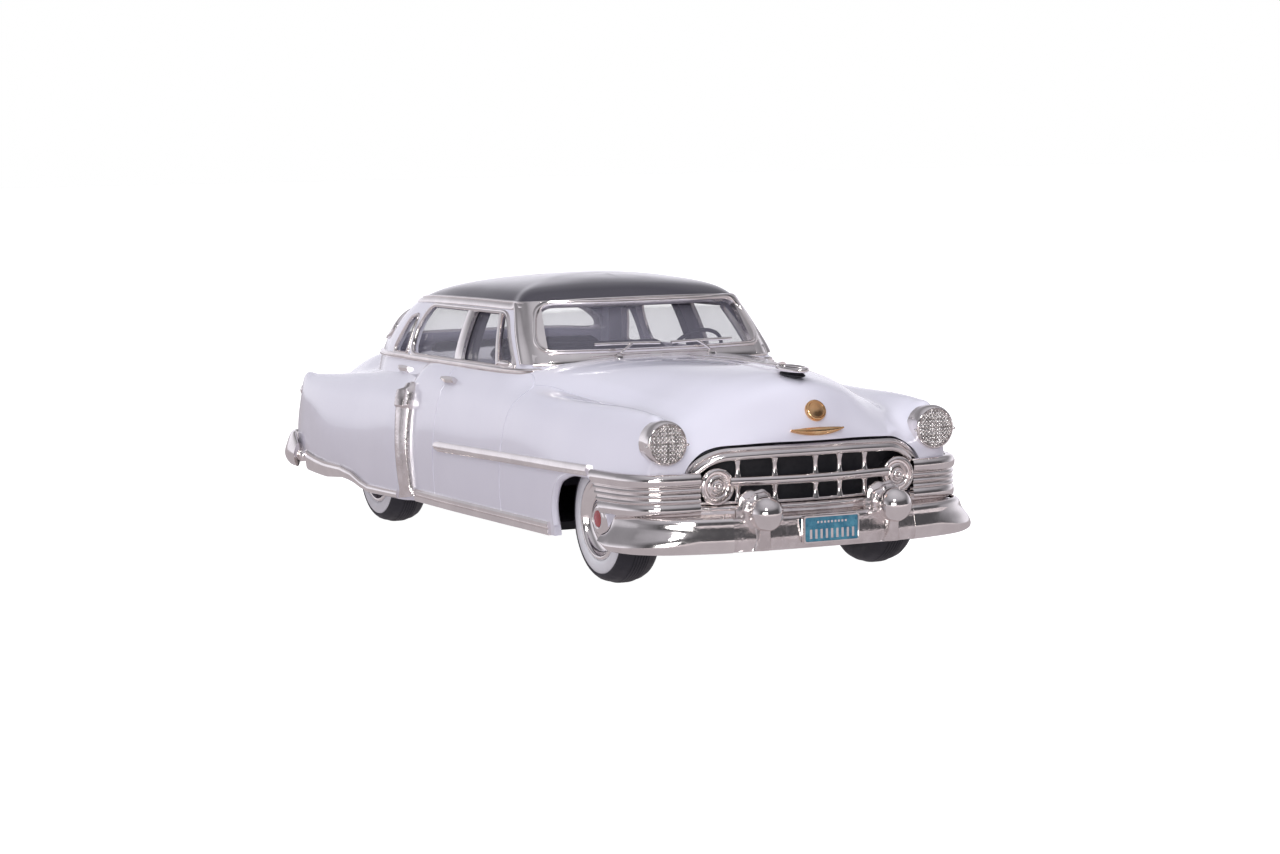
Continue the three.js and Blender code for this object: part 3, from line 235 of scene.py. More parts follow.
# ---------- shapes: (points, faces) ----------
def merged(shapes):
    points, faces, start = [], [], 0
    for p, f in shapes:
        points.append(np.asarray(p, float))
        faces.extend(tuple(i + start for i in face) for face in f)
        start += len(p)
    return np.concatenate(points), faces


def mirrored(shape):
    points, faces = shape
    return points * FLIP, [tuple(reversed(face)) for face in faces]


def both(shape):
    return merged([shape, mirrored(shape)])


def grid(net, wrap_rows=False, wrap_columns=False):
    """A surface over a grid of points shaped (rows, columns, 3)."""
    rows, columns = net.shape[:2]
    faces = []
    for i in range(rows if wrap_rows else rows - 1):
        for j in range(columns if wrap_columns else columns - 1):
            ni, nj = (i + 1) % rows, (j + 1) % columns
            faces.append((i * columns + j, i * columns + nj, ni * columns + nj, ni * columns + j))
    return net.reshape(-1, 3), faces


def swept(rings, closed=False):
    """Rings of equal length joined in order, with a face over each end when the run isn't closed."""
    rings = np.asarray(rings, float)
    points, faces = grid(rings, wrap_rows=closed, wrap_columns=True)
    if not closed:
        count = rings.shape[1]
        last = (rings.shape[0] - 1) * count
        faces.append(tuple(reversed(range(count))))
        faces.append(tuple(last + j for j in range(count)))
    return points, faces


def basis_from(axis):
    w = unit(axis)
    side = np.cross([0, 0, 1], w) if abs(w[2]) < 0.9 else np.array([1.0, 0, 0])
    u = unit(side)
    return u, np.cross(w, u), w


def lathe(profile, axis, place, segments=64):
    """A surface of revolution: profile points are (radius, distance along the axis)."""
    u, v, w = basis_from(axis)
    angles = np.arange(segments) * 2 * math.pi / segments
    ring = np.cos(angles)[:, None] * u + np.sin(angles)[:, None] * v
    rings = [np.asarray(place) + ring * max(r, 0) + w * along for r, along in profile]
    points, faces = grid(np.array(rings), wrap_columns=True)
    return points, faces


def tube(points, radius, sides=12, closed=False):
    """A round tube along a line; radius is a number or one for each point."""
    p = np.asarray(points, float)
    ahead = np.roll(p, -1, axis=0) if closed else np.vstack([p[1:], p[-1:]])
    behind = np.roll(p, 1, axis=0) if closed else np.vstack([p[:1], p[:-1]])
    along = unit(ahead - behind)
    u = basis_from(along[0])[0]
    radii = np.broadcast_to(radius, len(p))
    angles = np.arange(sides) * 2 * math.pi / sides
    rings = []
    for here, w, r in zip(p, along, radii):
        u = unit(u - w * np.dot(u, w))
        v = np.cross(w, u)
        rings.append(here + (np.cos(angles)[:, None] * u + np.sin(angles)[:, None] * v) * r)
    return swept(rings, closed)


def block(low, high):
    (x0, y0, z0), (x1, y1, z1) = low, high
    ring = lambda z: [(x0, y0, z), (x1, y0, z), (x1, y1, z), (x0, y1, z)]
    return swept([ring(z0), ring(z1)])


def prism(outline, place, depth):
    """An outline of 2-D points pushed through depth; place turns (a, b, d) into a point."""
    rings = [[place(a, b, d) for a, b in outline] for d in depth]
    return swept(rings)


def ellipsoid(radii, place, tilt=0.0, rings=24, segments=40):
    profile = [(math.sin(t), math.cos(t)) for t in np.linspace(0, math.pi, rings)]
    points, faces = lathe(profile, (0, 0, 1), (0, 0, 0), segments)
    points = points * np.asarray(radii, float)
    c, s = math.cos(tilt), math.sin(tilt)
    turn = np.array([[1, 0, 0], [0, c, -s], [0, s, c]])
    return points @ turn.T + np.asarray(place, float), faces


# ---------- making objects ----------
def plain_object(name, shape):
    points, faces = shape
    mesh = bpy.data.meshes.new(name)
    mesh.from_pydata((np.asarray(points) * MM).tolist(), [], faces)
    work = bmesh.new()
    work.from_mesh(mesh)
    bmesh.ops.remove_doubles(work, verts=work.verts, dist=2e-4 * MM)
    bmesh.ops.dissolve_degenerate(work, edges=work.edges, dist=1e-4 * MM)
    bmesh.ops.recalc_face_normals(work, faces=work.faces)
    work.to_mesh(mesh)
    work.free()
    made = bpy.data.objects.new(name, mesh)
    bpy.context.scene.collection.objects.link(made)
    return made


def piece(name, shape, material, stands_for=(), body="body", sharp=38):
    made = shape if isinstance(shape, bpy.types.Object) else plain_object(name, shape)
    made.name = name
    made.data.materials.clear()
    made.data.materials.append(MATERIALS[material])
    made.data.shade_smooth()
    made.data.set_sharp_from_angle(angle=math.radians(sharp))
    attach(made, body)
    if stands_for:
        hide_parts(*stands_for)
    return made


def carved(target, cutter_shape, operation="DIFFERENCE"):
    cutter = plain_object("cutter", cutter_shape)
    step = target.modifiers.new("carve", "BOOLEAN")
    step.object = cutter
    step.solver = "EXACT"
    step.operation = operation
    graph = bpy.context.evaluated_depsgraph_get()
    mesh = bpy.data.meshes.new_from_object(target.evaluated_get(graph))
    target.modifiers.clear()
    target.data = mesh
    bpy.data.objects.remove(cutter)
    return target


# ---------- the two body surfaces ----------
def rib(y, lean, pairs):
    return [(x, y + (z - 5) * lean, z) for x, z in pairs]


GUARD_LEAN = 0.1
BODY_RIBS = [
    [(0, 62, 8.6), (8, 61.8, 8.6), (13.5, 61.5, 8.6), (17, 61.2, 8.6), (19.6, 60.9, 8.6),
      (20.7, 60.5, 8.6), (21.3, 59.9, 8.5), (21.6, 59.2, 8.3), (21.8, 58.4, 8)],
    [(0, 61.8, 12.5), (8, 61.6, 12.5), (13.5, 61.3, 12.4), (17, 61.1, 12.2), (19.6, 61.8, 12.5),
      (20.8, 61.3, 11.8), (21.5, 60, 10.8), (21.8, 58.9, 9.6), (21.9, 57.8, 7.8)],
    [(0, 61, 16.3), (8, 60.7, 16), (13.4, 60.2, 15.2), (17, 59.7, 14.8), (19.7, 61.2, 16.6),
      (20.9, 60.4, 15), (21.7, 58.7, 12.3), (22, 57.6, 9.8), (22, 56.6, 7.6)],
    [(0, 58.8, 19.8), (8, 58.3, 19.3), (13.3, 57.6, 18), (17, 57.3, 16.9), (19.8, 60.1, 19.4),
      (21.1, 58.5, 17.3), (22, 56.3, 13), (22.3, 55.5, 9.8), (22.2, 54.8, 7.2)],
    [(0, 55.2, 22.3), (8, 54.8, 21.9), (13.3, 54.2, 20.7), (17, 54.2, 18.8), (19.8, 55.8, 19.6),
      (21.4, 54.8, 17.7), (22.3, 53.2, 13), (22.6, 52.6, 9.8), (22.4, 52, 6.9)],
    rib(47, 0, [(0, 24), (8, 23.7), (13.4, 22.6), (16.9, 20.2), (19.7, 20), (21.7, 18), (22.8, 13),
      (22.9, 9.5), (22.5, 5.6)]),
    rib(39, 0, [(0, 24.4), (8, 24), (13.6, 22.9), (16.9, 21), (19.6, 20.5), (21.8, 18.2), (23, 13),
      (23.1, 9.5), (22.6, 6)]),
    rib(27, 0, [(0, 24.8), (9, 24.6), (15, 23.9), (17.8, 22.3), (19.8, 20.8), (21.9, 18.4), (23.1, 13),
      (23.1, 9), (22.7, 4.9)]),
    rib(13.6, GUARD_LEAN, [(0, 25), (9, 24.8), (15.5, 24.2), (18.3, 22.9), (20.3, 21), (22.1, 18.7),
      (23.1, 13), (23.1, 9), (22.7, 5)]),
    rib(11.6, GUARD_LEAN, [(0, 25), (9, 24.8), (15.5, 24.3), (18.8, 23.5), (20.4, 22), (21.6, 19.4),
      (22.6, 13.5), (22.6, 9), (22.3, 5.1)]),
    rib(0, 0, [(0, 25), (9, 24.9), (15.5, 24.4), (18.9, 23.6), (20.5, 22), (21.7, 19.6), (22.7, 13.5),
      (22.7, 9), (22.4, 5)]),
    rib(-14, 0, [(0, 25.4), (9, 25.1), (15.5, 24.5), (18.7, 23.7), (20.4, 22), (21.7, 19.7), (22.7, 13.5),
      (22.7, 9), (22.4, 5)]),
    rib(-22, 0, [(0, 25.7), (8.5, 25.4), (14.5, 24.4), (18, 22.8), (20.2, 21.6), (21.7, 19.7), (22.7, 13.5),
      (22.7, 9), (22.4, 5)]),
    rib(-31, 0, [(0, 25.8), (8, 25.3), (13.2, 23.6), (16.6, 21.7), (19.8, 21.5), (21.6, 19.4), (22.7, 13.5),
      (22.7, 9), (22.4, 5.1)]),
    rib(-40, 0, [(0, 25.8), (7.4, 25), (12.2, 22.7), (15.4, 21), (19, 21.5), (21.3, 19), (22.7, 13.6),
      (22.7, 9.5), (22.4, 5.3)]),
    rib(-48, 0, [(0, 25.6), (7, 24.6), (11.6, 22.2), (14.9, 20.6), (18.5, 21.5), (21, 18.7), (22.4, 13.6),
      (22.4, 10), (22.1, 6)]),
    rib(-53.5, 0, [(0, 25.2), (6.5, 23.9), (11.2, 21.2), (14.6, 19.7), (18.3, 21.2), (20.4, 18.3),
      (21.4, 14), (21.6, 10.5), (21.5, 7.2)]),
    [(0, -58.4, 24.1), (6.1, -57.3, 22.6), (10.9, -56.2, 19.9), (14.6, -55.4, 18.6), (18.2, -56.1, 20.8),
      (19.9, -55.9, 18), (20.7, -55.6, 14), (20.9, -55.4, 11), (21, -55, 8)],
    [(0, -60.6, 21.8), (5.8, -59.3, 20.4), (10.8, -58.1, 18.4), (14.7, -57, 17.2), (18.2, -57.2, 18.9),
      (19.6, -56.9, 16.9), (20.2, -56.6, 13.5), (20.5, -56.2, 11), (20.7, -55.8, 8.4)],
    [(0, -61.7, 18.8), (5.8, -60.8, 17.9), (10.8, -59.5, 16.9), (14.8, -58, 15.9), (18.1, -57.6, 16.2),
      (19.3, -57.2, 14.8), (19.9, -56.9, 12.6), (20.3, -56.5, 10.8), (20.6, -56.1, 8.7)],
    [(0, -61.6, 16.4), (5.8, -60.9, 16.1), (10.8, -59.8, 15.5), (14.8, -58.3, 14.5), (18, -57.7, 14),
      (19.1, -57.3, 13), (19.8, -57, 11.7), (20.2, -56.6, 10.4), (20.5, -56.2, 9)],
    [(0, -60, 9.2), (5.8, -59.5, 9.2), (10.8, -58.9, 9.2), (14.8, -58.1, 9.2), (18, -57.5, 9.2),
      (19, -57.2, 9.2), (19.7, -57, 9.2), (20.1, -56.7, 9.2), (20.45, -56.3, 9.2)],
]

GREENHOUSE_POSTS = [
    [(0, -20.8, 23.6), (0, -19.9, 25.6), (0, -18.1, 28.6), (0, -16.3, 31.4), (0, -15.3, 32.8),
      (0, -13.2, 34.1), (0, -9.5, 35), (0, -4, 35.6)],
    [(9.4, -20, 23.6), (9.2, -19.1, 25.5), (8.8, -17.2, 28.5), (8.4, -15.3, 31.3), (8.2, -14.3, 32.7),
      (7.6, -12, 34), (4.6, -7.8, 35.1), (0, -3, 35.6)],
    [(17.4, -17.2, 23.4), (17.1, -16.2, 25.3), (16.4, -14, 28.3), (15.6, -11.9, 31.2), (15.1, -10.8, 32.4),
      (13.3, -8.8, 33.8), (7.6, -4.5, 35.1), (0, -1, 35.7)],
    [(18.5, -14.5, 23.4), (18.1, -13.2, 25.2), (17.2, -10.8, 28.2), (16, -8.6, 31.1), (15.3, -7.2, 32.4),
      (13.5, -5.5, 33.8), (7.8, -2, 35.2), (0, 1, 35.7)],
    [(18.7, 4, 23.4), (18.4, 4, 25.2), (17.4, 4, 28.2), (16.1, 4, 31.1), (15.4, 4, 32.4), (13.6, 4, 33.8),
      (8, 4, 35.1), (0, 4, 35.6)],
    [(18.5, 23, 23.4), (18.1, 22.5, 25.2), (17.1, 21.5, 28.2), (15.8, 20, 31), (15.1, 19, 32.2),
      (13.4, 17.5, 33.5), (8, 14, 34.7), (0, 10, 35.2)],
    [(17.4, 34, 23.2), (17, 33.4, 25.2), (16.1, 31.1, 28.2), (14.8, 28.2, 30.8), (14.1, 26.6, 31.8),
      (12.4, 24.2, 32.9), (7.5, 19.6, 34.2), (0, 15, 35)],
    [(13.6, 42.5, 23), (13.3, 40.7, 25.4), (12.5, 37.1, 28.4), (11.3, 33.2, 30.7), (10.7, 31.4, 31.5),
      (9.3, 28.6, 32.5), (5.8, 24, 33.7), (0, 20, 34.5)],
    [(0, 45.4, 23.3), (0, 43, 25.5), (0, 39.2, 28.4), (0, 35.2, 30.6), (0, 33.3, 31.4), (0, 30.6, 32.3),
      (0, 27.2, 33.2), (0, 24, 33.9)],
]
DRIP_LEVEL = 4


def body_net(per_rib, per_line):
    """Points shaped (ribs, lines, 3) over the whole width, from the right sill to the left one."""
    lines = smooth(np.array(BODY_RIBS, float), per_rib)
    rows = lines.transpose(1, 0, 2)
    half = smooth_row(rows, per_line, False).transpose(1, 0, 2)
    return np.concatenate([half[:, :0:-1] * FLIP, half], axis=1)


def greenhouse_net(per_post, per_level):
    """Points shaped (posts, levels, 3) on the left side, from the windscreen's middle to the rear's."""
    levels = np.array(GREENHOUSE_POSTS, float).transpose(1, 0, 2)
    ridge = smooth(levels[-1], per_post)
    rings = [smooth_row(level, per_post, True) for level in levels[:-1]]
    posts = np.array([*rings, ridge]).transpose(1, 0, 2)
    out = []
    for i, post in enumerate(posts):
        beyond = ridge[i].copy() if i in (0, len(posts) - 1) else post[-2] * FLIP
        beyond[2] -= 1e-3
        line = smooth([*post, beyond], per_level)
        out.append(line[: len(line) - per_level])
    return np.array(out)


def net_normals(net):
    along = np.gradient(net, axis=0)
    across = np.gradient(net, axis=1)
    normal = unit(np.cross(along, across))
    outward = (net - [0, 0, 14]) * [1, 0.35, 1]
    return normal * np.sign(np.sum(normal * outward))


def shell(net, thickness):
    """The net as an outer skin, with an inner skin under it and a rim along its four edges."""
    inner = net - net_normals(net) * thickness * np.clip((60.5 - net[..., 1:2]) / 9, 0.12, 1)
    rows, columns = net.shape[:2]
    outer_points, outer_faces = grid(net)
    inner_points, inner_faces = grid(inner)
    count = len(outer_points)
    faces = outer_faces + [tuple(i + count for i in reversed(face)) for face in inner_faces]
    border = [j for j in range(columns)]
    border += [i * columns + columns - 1 for i in range(1, rows)]
    border += [(rows - 1) * columns + j for j in range(columns - 2, -1, -1)]
    border += [i * columns for i in range(rows - 2, 0, -1)]
    for k, a in enumerate(border):
        b = border[(k + 1) % len(border)]
        faces.append((b, a, a + count, b + count))
    return np.concatenate([outer_points, inner_points]), faces


PER_POST, PER_LEVEL = 10, 8
BODY_NET = body_net(8, 8)
GREENHOUSE_HALF = greenhouse_net(PER_POST, PER_LEVEL)
HALF_NORMALS = net_normals(GREENHOUSE_HALF)


def whole_greenhouse(low, high):
    """The greenhouse between two levels of its net, right round the car, as a net that wraps round."""
    half = GREENHOUSE_HALF[:, low : high + 1]
    return np.concatenate([half, half[-2:0:-1] * FLIP])


def tree_of(shapes):
    points, faces = merged(shapes)
    return BVHTree.FromPolygons([Vector(p) for p in points], faces)


def greenhouse_skin_shape():
    net = whole_greenhouse(0, GREENHOUSE_HALF.shape[1] - 1)
    return grid(net, wrap_rows=True)


BODY_TREE = tree_of([grid(BODY_NET)])
GREENHOUSE_TREE = tree_of([greenhouse_skin_shape()])
WHOLE_TREE = tree_of([grid(BODY_NET), greenhouse_skin_shape()])


def touch(start, direction, tree=WHOLE_TREE):
    point, normal, _, _ = tree.ray_cast(Vector(start), Vector(direction))
    if point is None:
        raise ValueError(f"no skin from {start} along {direction}")
    normal = np.array(normal)
    if np.dot(normal, direction) > 0:
        normal = -normal
    return np.array(point), normal


def side_touch(y, z, tree=WHOLE_TREE):
    return touch((60, y, z), (-1, 0, 0), tree)


def top_touch(x, y, tree=WHOLE_TREE):
    return touch((x, y, 90), (0, 0, -1), tree)


def front_touch(x, z, tree=WHOLE_TREE):
    return touch((x, -120, z), (0, 1, 0), tree)


def softened(values, passes=2):
    """Evens out a run of normals so that a strip laid on the skin doesn't jitter."""
    v = np.asarray(values, float)
    for _ in range(passes):
        padded = np.vstack([v[:1], v, v[-1:]])
        v = unit(padded[:-2] + 2 * padded[1:-1] + padded[2:])
    return v


# ---------- body ----------
FRONT_ARCH = [(-50.6, 1), (-50.3, 8.4), (-49.2, 11.4), (-46.4, 13.5), (-41, 13.5), (-37, 12.2),
              (-35.2, 9.2), (-35.6, 5), (-36, 1)]
WINDOW_SILL = 24.2
SIDE_WINDOW = [(-15, WINDOW_SILL), (-7.8, 31.2), (19, 31.2), (21.2, 28.6), (21.2, WINDOW_SILL)]
QUARTER_WINDOW = [(22.6, WINDOW_SILL), (22.6, 29.8), (25.3, 29.2), (28.8, WINDOW_SILL)]
WINDSCREEN = [(-15.9, 26.3), (-14.2, 32.1), (14.2, 32.1), (15.9, 26.3)]
REAR_WINDOW = [(-16.4, 25.8), (-15.8, 27.5), (-14, 29.2), (-10, 30.2), (10, 30.2), (14, 29.2), (15.8, 27.5), (16.4, 25.8)]
GRILLE_ARCH = [(-16.1, 8), (-16.1, 14.8), (-12.8, 17.3), (-6, 17.7), (6, 17.7), (12.8, 17.3), (16.1, 14.8),
               (16.1, 8)]


def along_x(a, b, d):
    return (d, a, b)


def along_y(a, b, d):
    return (a, d, b)


def groove(points, radius=0.11):
    return tube(smooth(points, 6), radius, 8)


def skin_line(spots):
    """Points on the skin: ('side', y, z), ('top', x, y) or ('front', x, z), all on the left side."""
    finders = {"side": side_touch, "top": top_touch, "front": front_touch}
    return [finders[kind](a, b, BODY_TREE)[0] for kind, a, b in spots]


DOOR_FRONT = [("side", -19.1, 5.6), ("side", -19.1, 8), ("side", -19.2, 11), ("side", -19.5, 15),
              ("side", -20.2, 18.5), ("side", -21, 20.4), ("top", 19.6, -21.9), ("top", 18.6, -21.2),
              ("top", 17.7, -19), ("top", 17.5, -17)]
DOOR_REAR_SPOTS = [("side", 3.4, 5.6), ("side", 3.4, 10), ("side", 3.4, 16), ("side", 3.2, 20),
                   ("side", 3, 22), ("top", 19.2, 3), ("top", 18.6, 3)]
HOOD_LINE = [("top", 18.6, -21.6), ("top", 17.7, -24), ("top", 16.9, -29), ("top", 16.1, -35), ("top", 15.4, -41),
             ("top", 15, -46)]
TRUNK_LINE = [("top", 0.05, 45.9), ("top", 6, 45.7), ("top", 10.8, 44.9), ("top", 13.4, 43.8),
              ("top", 14.6, 46), ("top", 14.6, 50), ("top", 14.2, 54.5)]


def body_shell():
    made = plain_object("body_panels", shell(BODY_NET, 0.9))
    cuts = [both(prism(rounded(FRONT_ARCH, 1.5), along_x, (14, 26))),
            prism(rounded(GRILLE_ARCH, 2), along_y, (-70, -56.6))]
    carved(made, merged(cuts))
    for spots in (DOOR_FRONT, DOOR_REAR_SPOTS):
        carved(made, both(groove(skin_line(spots))))
    carved(made, both(groove(skin_line(HOOD_LINE), 0.07)))
    return piece("body_panels", made, "white_paint", ["body_shell"])


def arch_lip():
    """The rolled edge of the front wheel arches."""
    outline = rounded(FRONT_ARCH, 1.5)
    outline = outline[outline[:, 1] > 6.2]
    path = [side_touch(y, z, BODY_TREE)[0] for y, z in resampled(outline, 60)]
    lip = tube(np.array(path) - [0.38, 0, 0], 0.46, 14)
    return piece("wheel_arch_lips", both(lip), "white_paint")


def greenhouse():
    drip = DRIP_LEVEL * PER_LEVEL
    net = whole_greenhouse(0, drip)
    wall = 0.8
    inner = net - net_normals(net) * wall
    outer_points, outer_faces = grid(net, wrap_rows=True)
    inner_points, inner_faces = grid(inner, wrap_rows=True)
    count = len(outer_points)
    rows, columns = net.shape[:2]
    faces = outer_faces + [tuple(i + count for i in reversed(face)) for face in inner_faces]
    for edge in (0, columns - 1):
        for i in range(rows):
            a, b = i * columns + edge, ((i + 1) % rows) * columns + edge
            quad = (a, b, b + count, a + count)
            faces.append(quad if edge == 0 else tuple(reversed(quad)))
    made = plain_object("greenhouse", (np.concatenate([outer_points, inner_points]), faces))
    cuts = [both(prism(rounded(SIDE_WINDOW, 1.8), along_x, (10, 24))),
            both(prism(rounded(QUARTER_WINDOW, 1), along_x, (8, 24)))]
    carved(made, merged(cuts))
    carved(made, merged([prism(rounded(WINDSCREEN, 1.8), along_y, (-26, -9)),
                         prism(rounded(REAR_WINDOW, 1.8), along_y, (26, 46))]))
    return piece("greenhouse", made, "white_paint", ["body_shell"])


def roof_panel():
    drip = DRIP_LEVEL * PER_LEVEL
    net = whole_greenhouse(drip, GREENHOUSE_HALF.shape[1] - 1)
    outer = grid(net, wrap_rows=True)
    under = grid(net - net_normals(net) * 0.7, wrap_rows=True)
    rim = grid(np.stack([net[:, 0], net[:, 0] - net_normals(net)[:, 0] * 0.7], axis=1), wrap_rows=True)
    return piece("roof_panel", merged([outer, under, rim]), "black_paint", ["body_shell"], sharp=60)


def drip_moulding():
    drip = DRIP_LEVEL * PER_LEVEL
    net = whole_greenhouse(drip - 1, drip + 1)
    line = net[:, 1] + net_normals(net)[:, 1] * 0.02
    return piece("drip_moulding", tube(line, 0.2, 12, closed=True), "plated", [], sharp=80)


def belt_fillet():
    """A soft concave corner where the greenhouse stands on the body."""
    reach = 0.55
    posts = whole_greenhouse(0, 2 * PER_LEVEL)
    normals = net_normals(posts)
    rows = []
    for post, normal in zip(posts, normals):
        crossing = None
        for j in range(len(post) - 1):
            below = post[j][2] - top_touch(post[j][0], post[j][1], BODY_TREE)[0][2]
            above = post[j + 1][2] - top_touch(post[j + 1][0], post[j + 1][1], BODY_TREE)[0][2]
            if below <= 0 < above:
                t = below / (below - above)
                crossing = (post[j] * (1 - t) + post[j + 1] * t, unit(post[j + 1] - post[j]), normal[j])
        if crossing is None:
            crossing = (post[0], unit(post[1] - post[0]), normal[0])
        corner, up, outward = crossing
        flat = unit(outward * [1, 1, 0])
        landing = corner + flat * reach
        landing = top_touch(landing[0], landing[1], BODY_TREE)[0] - [0, 0, 0.02]
        head = corner + up * reach - outward * 0.02
        row = [head * (1 - t) ** 2 + corner * 2 * t * (1 - t) + landing * t**2 for t in np.linspace(0, 1, 7)]
        rows.append(row + [corner - outward * 0.5 - [0, 0, 0.5]])
    shape = grid(np.array(rows), wrap_rows=True, wrap_columns=True)
    return piece("belt_fillet", shape, "white_paint", [], sharp=70)


body_shell()
arch_lip()
greenhouse()
roof_panel()
drip_moulding()
belt_fillet()


# ---------- mouldings laid on the skin ----------
def domed(half, height, steps=7):
    """A shallow dome's section as (across, out) points, closed through a foot under the skin."""
    angles = np.linspace(0, math.pi, steps)
    top = [(-half * math.cos(t), height * math.sin(t) ** 0.7) for t in angles]
    return [(-half, -0.25), *top, (half, -0.25)]


def laid_strip(run, section_at, tree=WHOLE_TREE, find=side_touch):
    return strip_on([find(a, b, tree) for a, b in run], section_at)


def strip_on(found, section_at):
    """A strip along (point, normal) spots on the skin; section_at(t) gives its (across, out) points."""
    points = np.array([point for point, _ in found])
    normals = softened([normal for _, normal in found])
    along = unit(np.gradient(points, axis=0))
    rings = []
    for i, (point, normal, forward) in enumerate(zip(points, normals, along)):
        across = unit(np.cross(normal, forward))
        section = section_at(i / (len(found) - 1))
        rings.append([point + across * a + normal * out for a, out in section])
    return swept(rings)


def pair(name, shape, material, sharp=38, stands_for=None):
    """The left piece and its mirror image, each standing for the CAD node of the same name."""
    for side, sign in SIDES.items():
        node = f"{name}_{side}"
        piece(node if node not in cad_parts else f"{node}_piece", shape if sign == LEFT else mirrored(shape),
              material, [node] if stands_for is None else stands_for, sharp=sharp)


def line_between(start, end, count):
    return [tuple(p) for p in np.linspace(start, end, count)]


def side_spear():
    run = [(y, 14.1 - (y + 46) * 0.017) for y in np.linspace(-45.9, 2.1, 70)]
    ends = lambda t: min(1, 0.6 + (1 - t) * 14) ** 0.6

    def section(t):
        half, height = 0.68 * ends(t), 0.52
        return [(-half, -0.2), (-half, height * 0.45), (-half * 0.8, height * 0.7), (-half * 0.45, height * 0.72),
                (-half * 0.2, height), (half * 0.5, height), (half * 0.9, height * 0.75), (half, height * 0.4),
                (half, -0.2)]
    pair("side_spear", laid_strip(run, section), "plated")


def rocker_moulding():
    run = [(y, 6) for y in np.linspace(-34.4, 10.2, 50)]

    def section(t):
        return [(-0.85, -0.2), (-0.85, 0.35), (-0.6, 0.5), (-0.1, 0.5), (0.05, 0.3), (0.2, 0.5), (0.6, 0.52),
                (0.85, 0.3), (0.85, -0.2)]
    pair("rocker_moulding", laid_strip(run, section), "plated")


def gravel_guard():
    """The plated strip down the front of the rear fender, bent over the shoulder at its top."""
    low, high, base_y = 5.6, 18.4, 12.4
    spots = [side_touch(base_y + (z - 5) * GUARD_LEAN, z) for z in np.linspace(low, high, 56)]
    over_y = base_y + (high - 5) * GUARD_LEAN
    for k, turn in enumerate(np.linspace(0.24, 0.64, 5)):
        away = np.array([math.cos(turn), 0, math.sin(turn)])
        spots.append(touch(np.array([16.6, over_y + 0.12 * k, 17.2]) + away * 40, -away))

    def section(t):
        half = (2.7 + 0.9 * t**3 + 1.2 * max(0, 0.08 - t) * 12) / 2
        height = 0.95 + 0.15 * t + (0.4 if t > 0.86 else 0)
        if t > 0.98:
            half, height = half * 0.8, height * 0.5
        return [(-half, -0.4), (-half, height * 0.35), (-half * 0.82, height * 0.8), (-half * 0.5, height),
                (half * 0.1, height * 0.92), (half * 0.3, height * 0.7), (half * 0.75, height * 0.75),
                (half, height * 0.3), (half, -0.4)]
    pair("gravel_guard", strip_on(spots, section), "grainy", sharp=45)


# The trim on the rear skirt: where it runs and how wide it is.
SKIRT = np.array([(15.6, 5.6, 1.1), (21, 5.5, 1.1), (27, 5.4, 1.2), (30, 5.8, 1.3), (33.5, 6.6, 1.5), (38, 6.9, 1.8),
                  (44.5, 6.7, 2.4), (49, 6.9, 2.6), (53.2, 7.2, 2.9)])


def skirt_trim():
    start, end = SKIRT[0, 0], SKIRT[-1, 0]
    run = [(y, np.interp(y, SKIRT[:, 0], SKIRT[:, 1])) for y in np.linspace(start, end, 80)]

    def section(t):
        half = np.interp(start + (end - start) * t, SKIRT[:, 0], SKIRT[:, 2]) / 2
        return [(-half, -0.3), (-half, 0.25), (-half * 0.75, 0.45), (-half * 0.2, 0.5), (half * 0.45, 0.42),
                (half * 0.6, 0.3), (half * 0.72, 0.4), (half * 0.92, 0.38), (half, 0.2), (half, -0.3)]
    pair("skirt_trim", laid_strip(run, section), "plated", sharp=45)
    bolt_y, bolt_z = 56, 7.6
    head = [(0.8, -0.8), (0.8, 0.3), (0.7, 0.55), (0.45, 0.72), (0, 0.78)]
    spot = side_touch(bolt_y, bolt_z)[0]
    pair("bumper_bolt", lathe(head, (1, 0, 0), spot, 28), "grainy", stands_for=[])


def door_handles():
    for place in ("front", "rear"):
        low, high = node_box(f"door_handle_{place}_left")
        run = line_between((low[1], (low[2] + high[2]) / 2), (high[1], (low[2] + high[2]) / 2), 20)

        def section(t):
            half = 0.3 + 0.2 * math.sin(math.pi * t)
            neck = half * (0.55 if 0.2 < t < 0.8 else 1)
            return [(-neck, -0.2), (-neck, 0.3), (-half, 0.42), (-half * 0.5, 0.8), (half * 0.5, 0.8), (half, 0.42),
                    (neck, 0.3), (neck, -0.2)]
        pair(f"door_handle_{place}", laid_strip(run, section), "plated")


side_spear()
rocker_moulding()
gravel_guard()
skirt_trim()
door_handles()


# ---------- glazing and its frames ----------
def ring_frame(outer, inner, place, section):
    """A band between two closed outlines of equal length: section is (0 outer..1 inner, out) points."""
    rings = []
    for a, b in zip(outer, inner):
        rings.append([place(a * (1 - t) + b * t, out) for t, out in section])
    return swept(rings, closed=True)


FRAME_SECTION = [(0.0, -0.25), (0.0, 0.25), (0.1, 0.45), (0.3, 0.55), (0.45, 0.42), (0.55, 0.42), (0.72, 0.55),
                 (0.92, 0.4), (1.0, 0.15), (1.0, -0.35)]


def windscreen_frame():
    count = 160
    outer = resampled(rounded(inset(WINDSCREEN, -0.4), 2.2), count, closed=True)
    inner = resampled(rounded(inset(WINDSCREEN, 0.15), 2.0), count, closed=True)

    def place(spot, out):
        point, normal = front_touch(spot[0], spot[1], GREENHOUSE_TREE)
        return point + normal * out
    shape = ring_frame(outer, inner, place, FRAME_SECTION)
    piece("windscreen_surround", shape, "plated", ["windscreen_frame"], sharp=60)


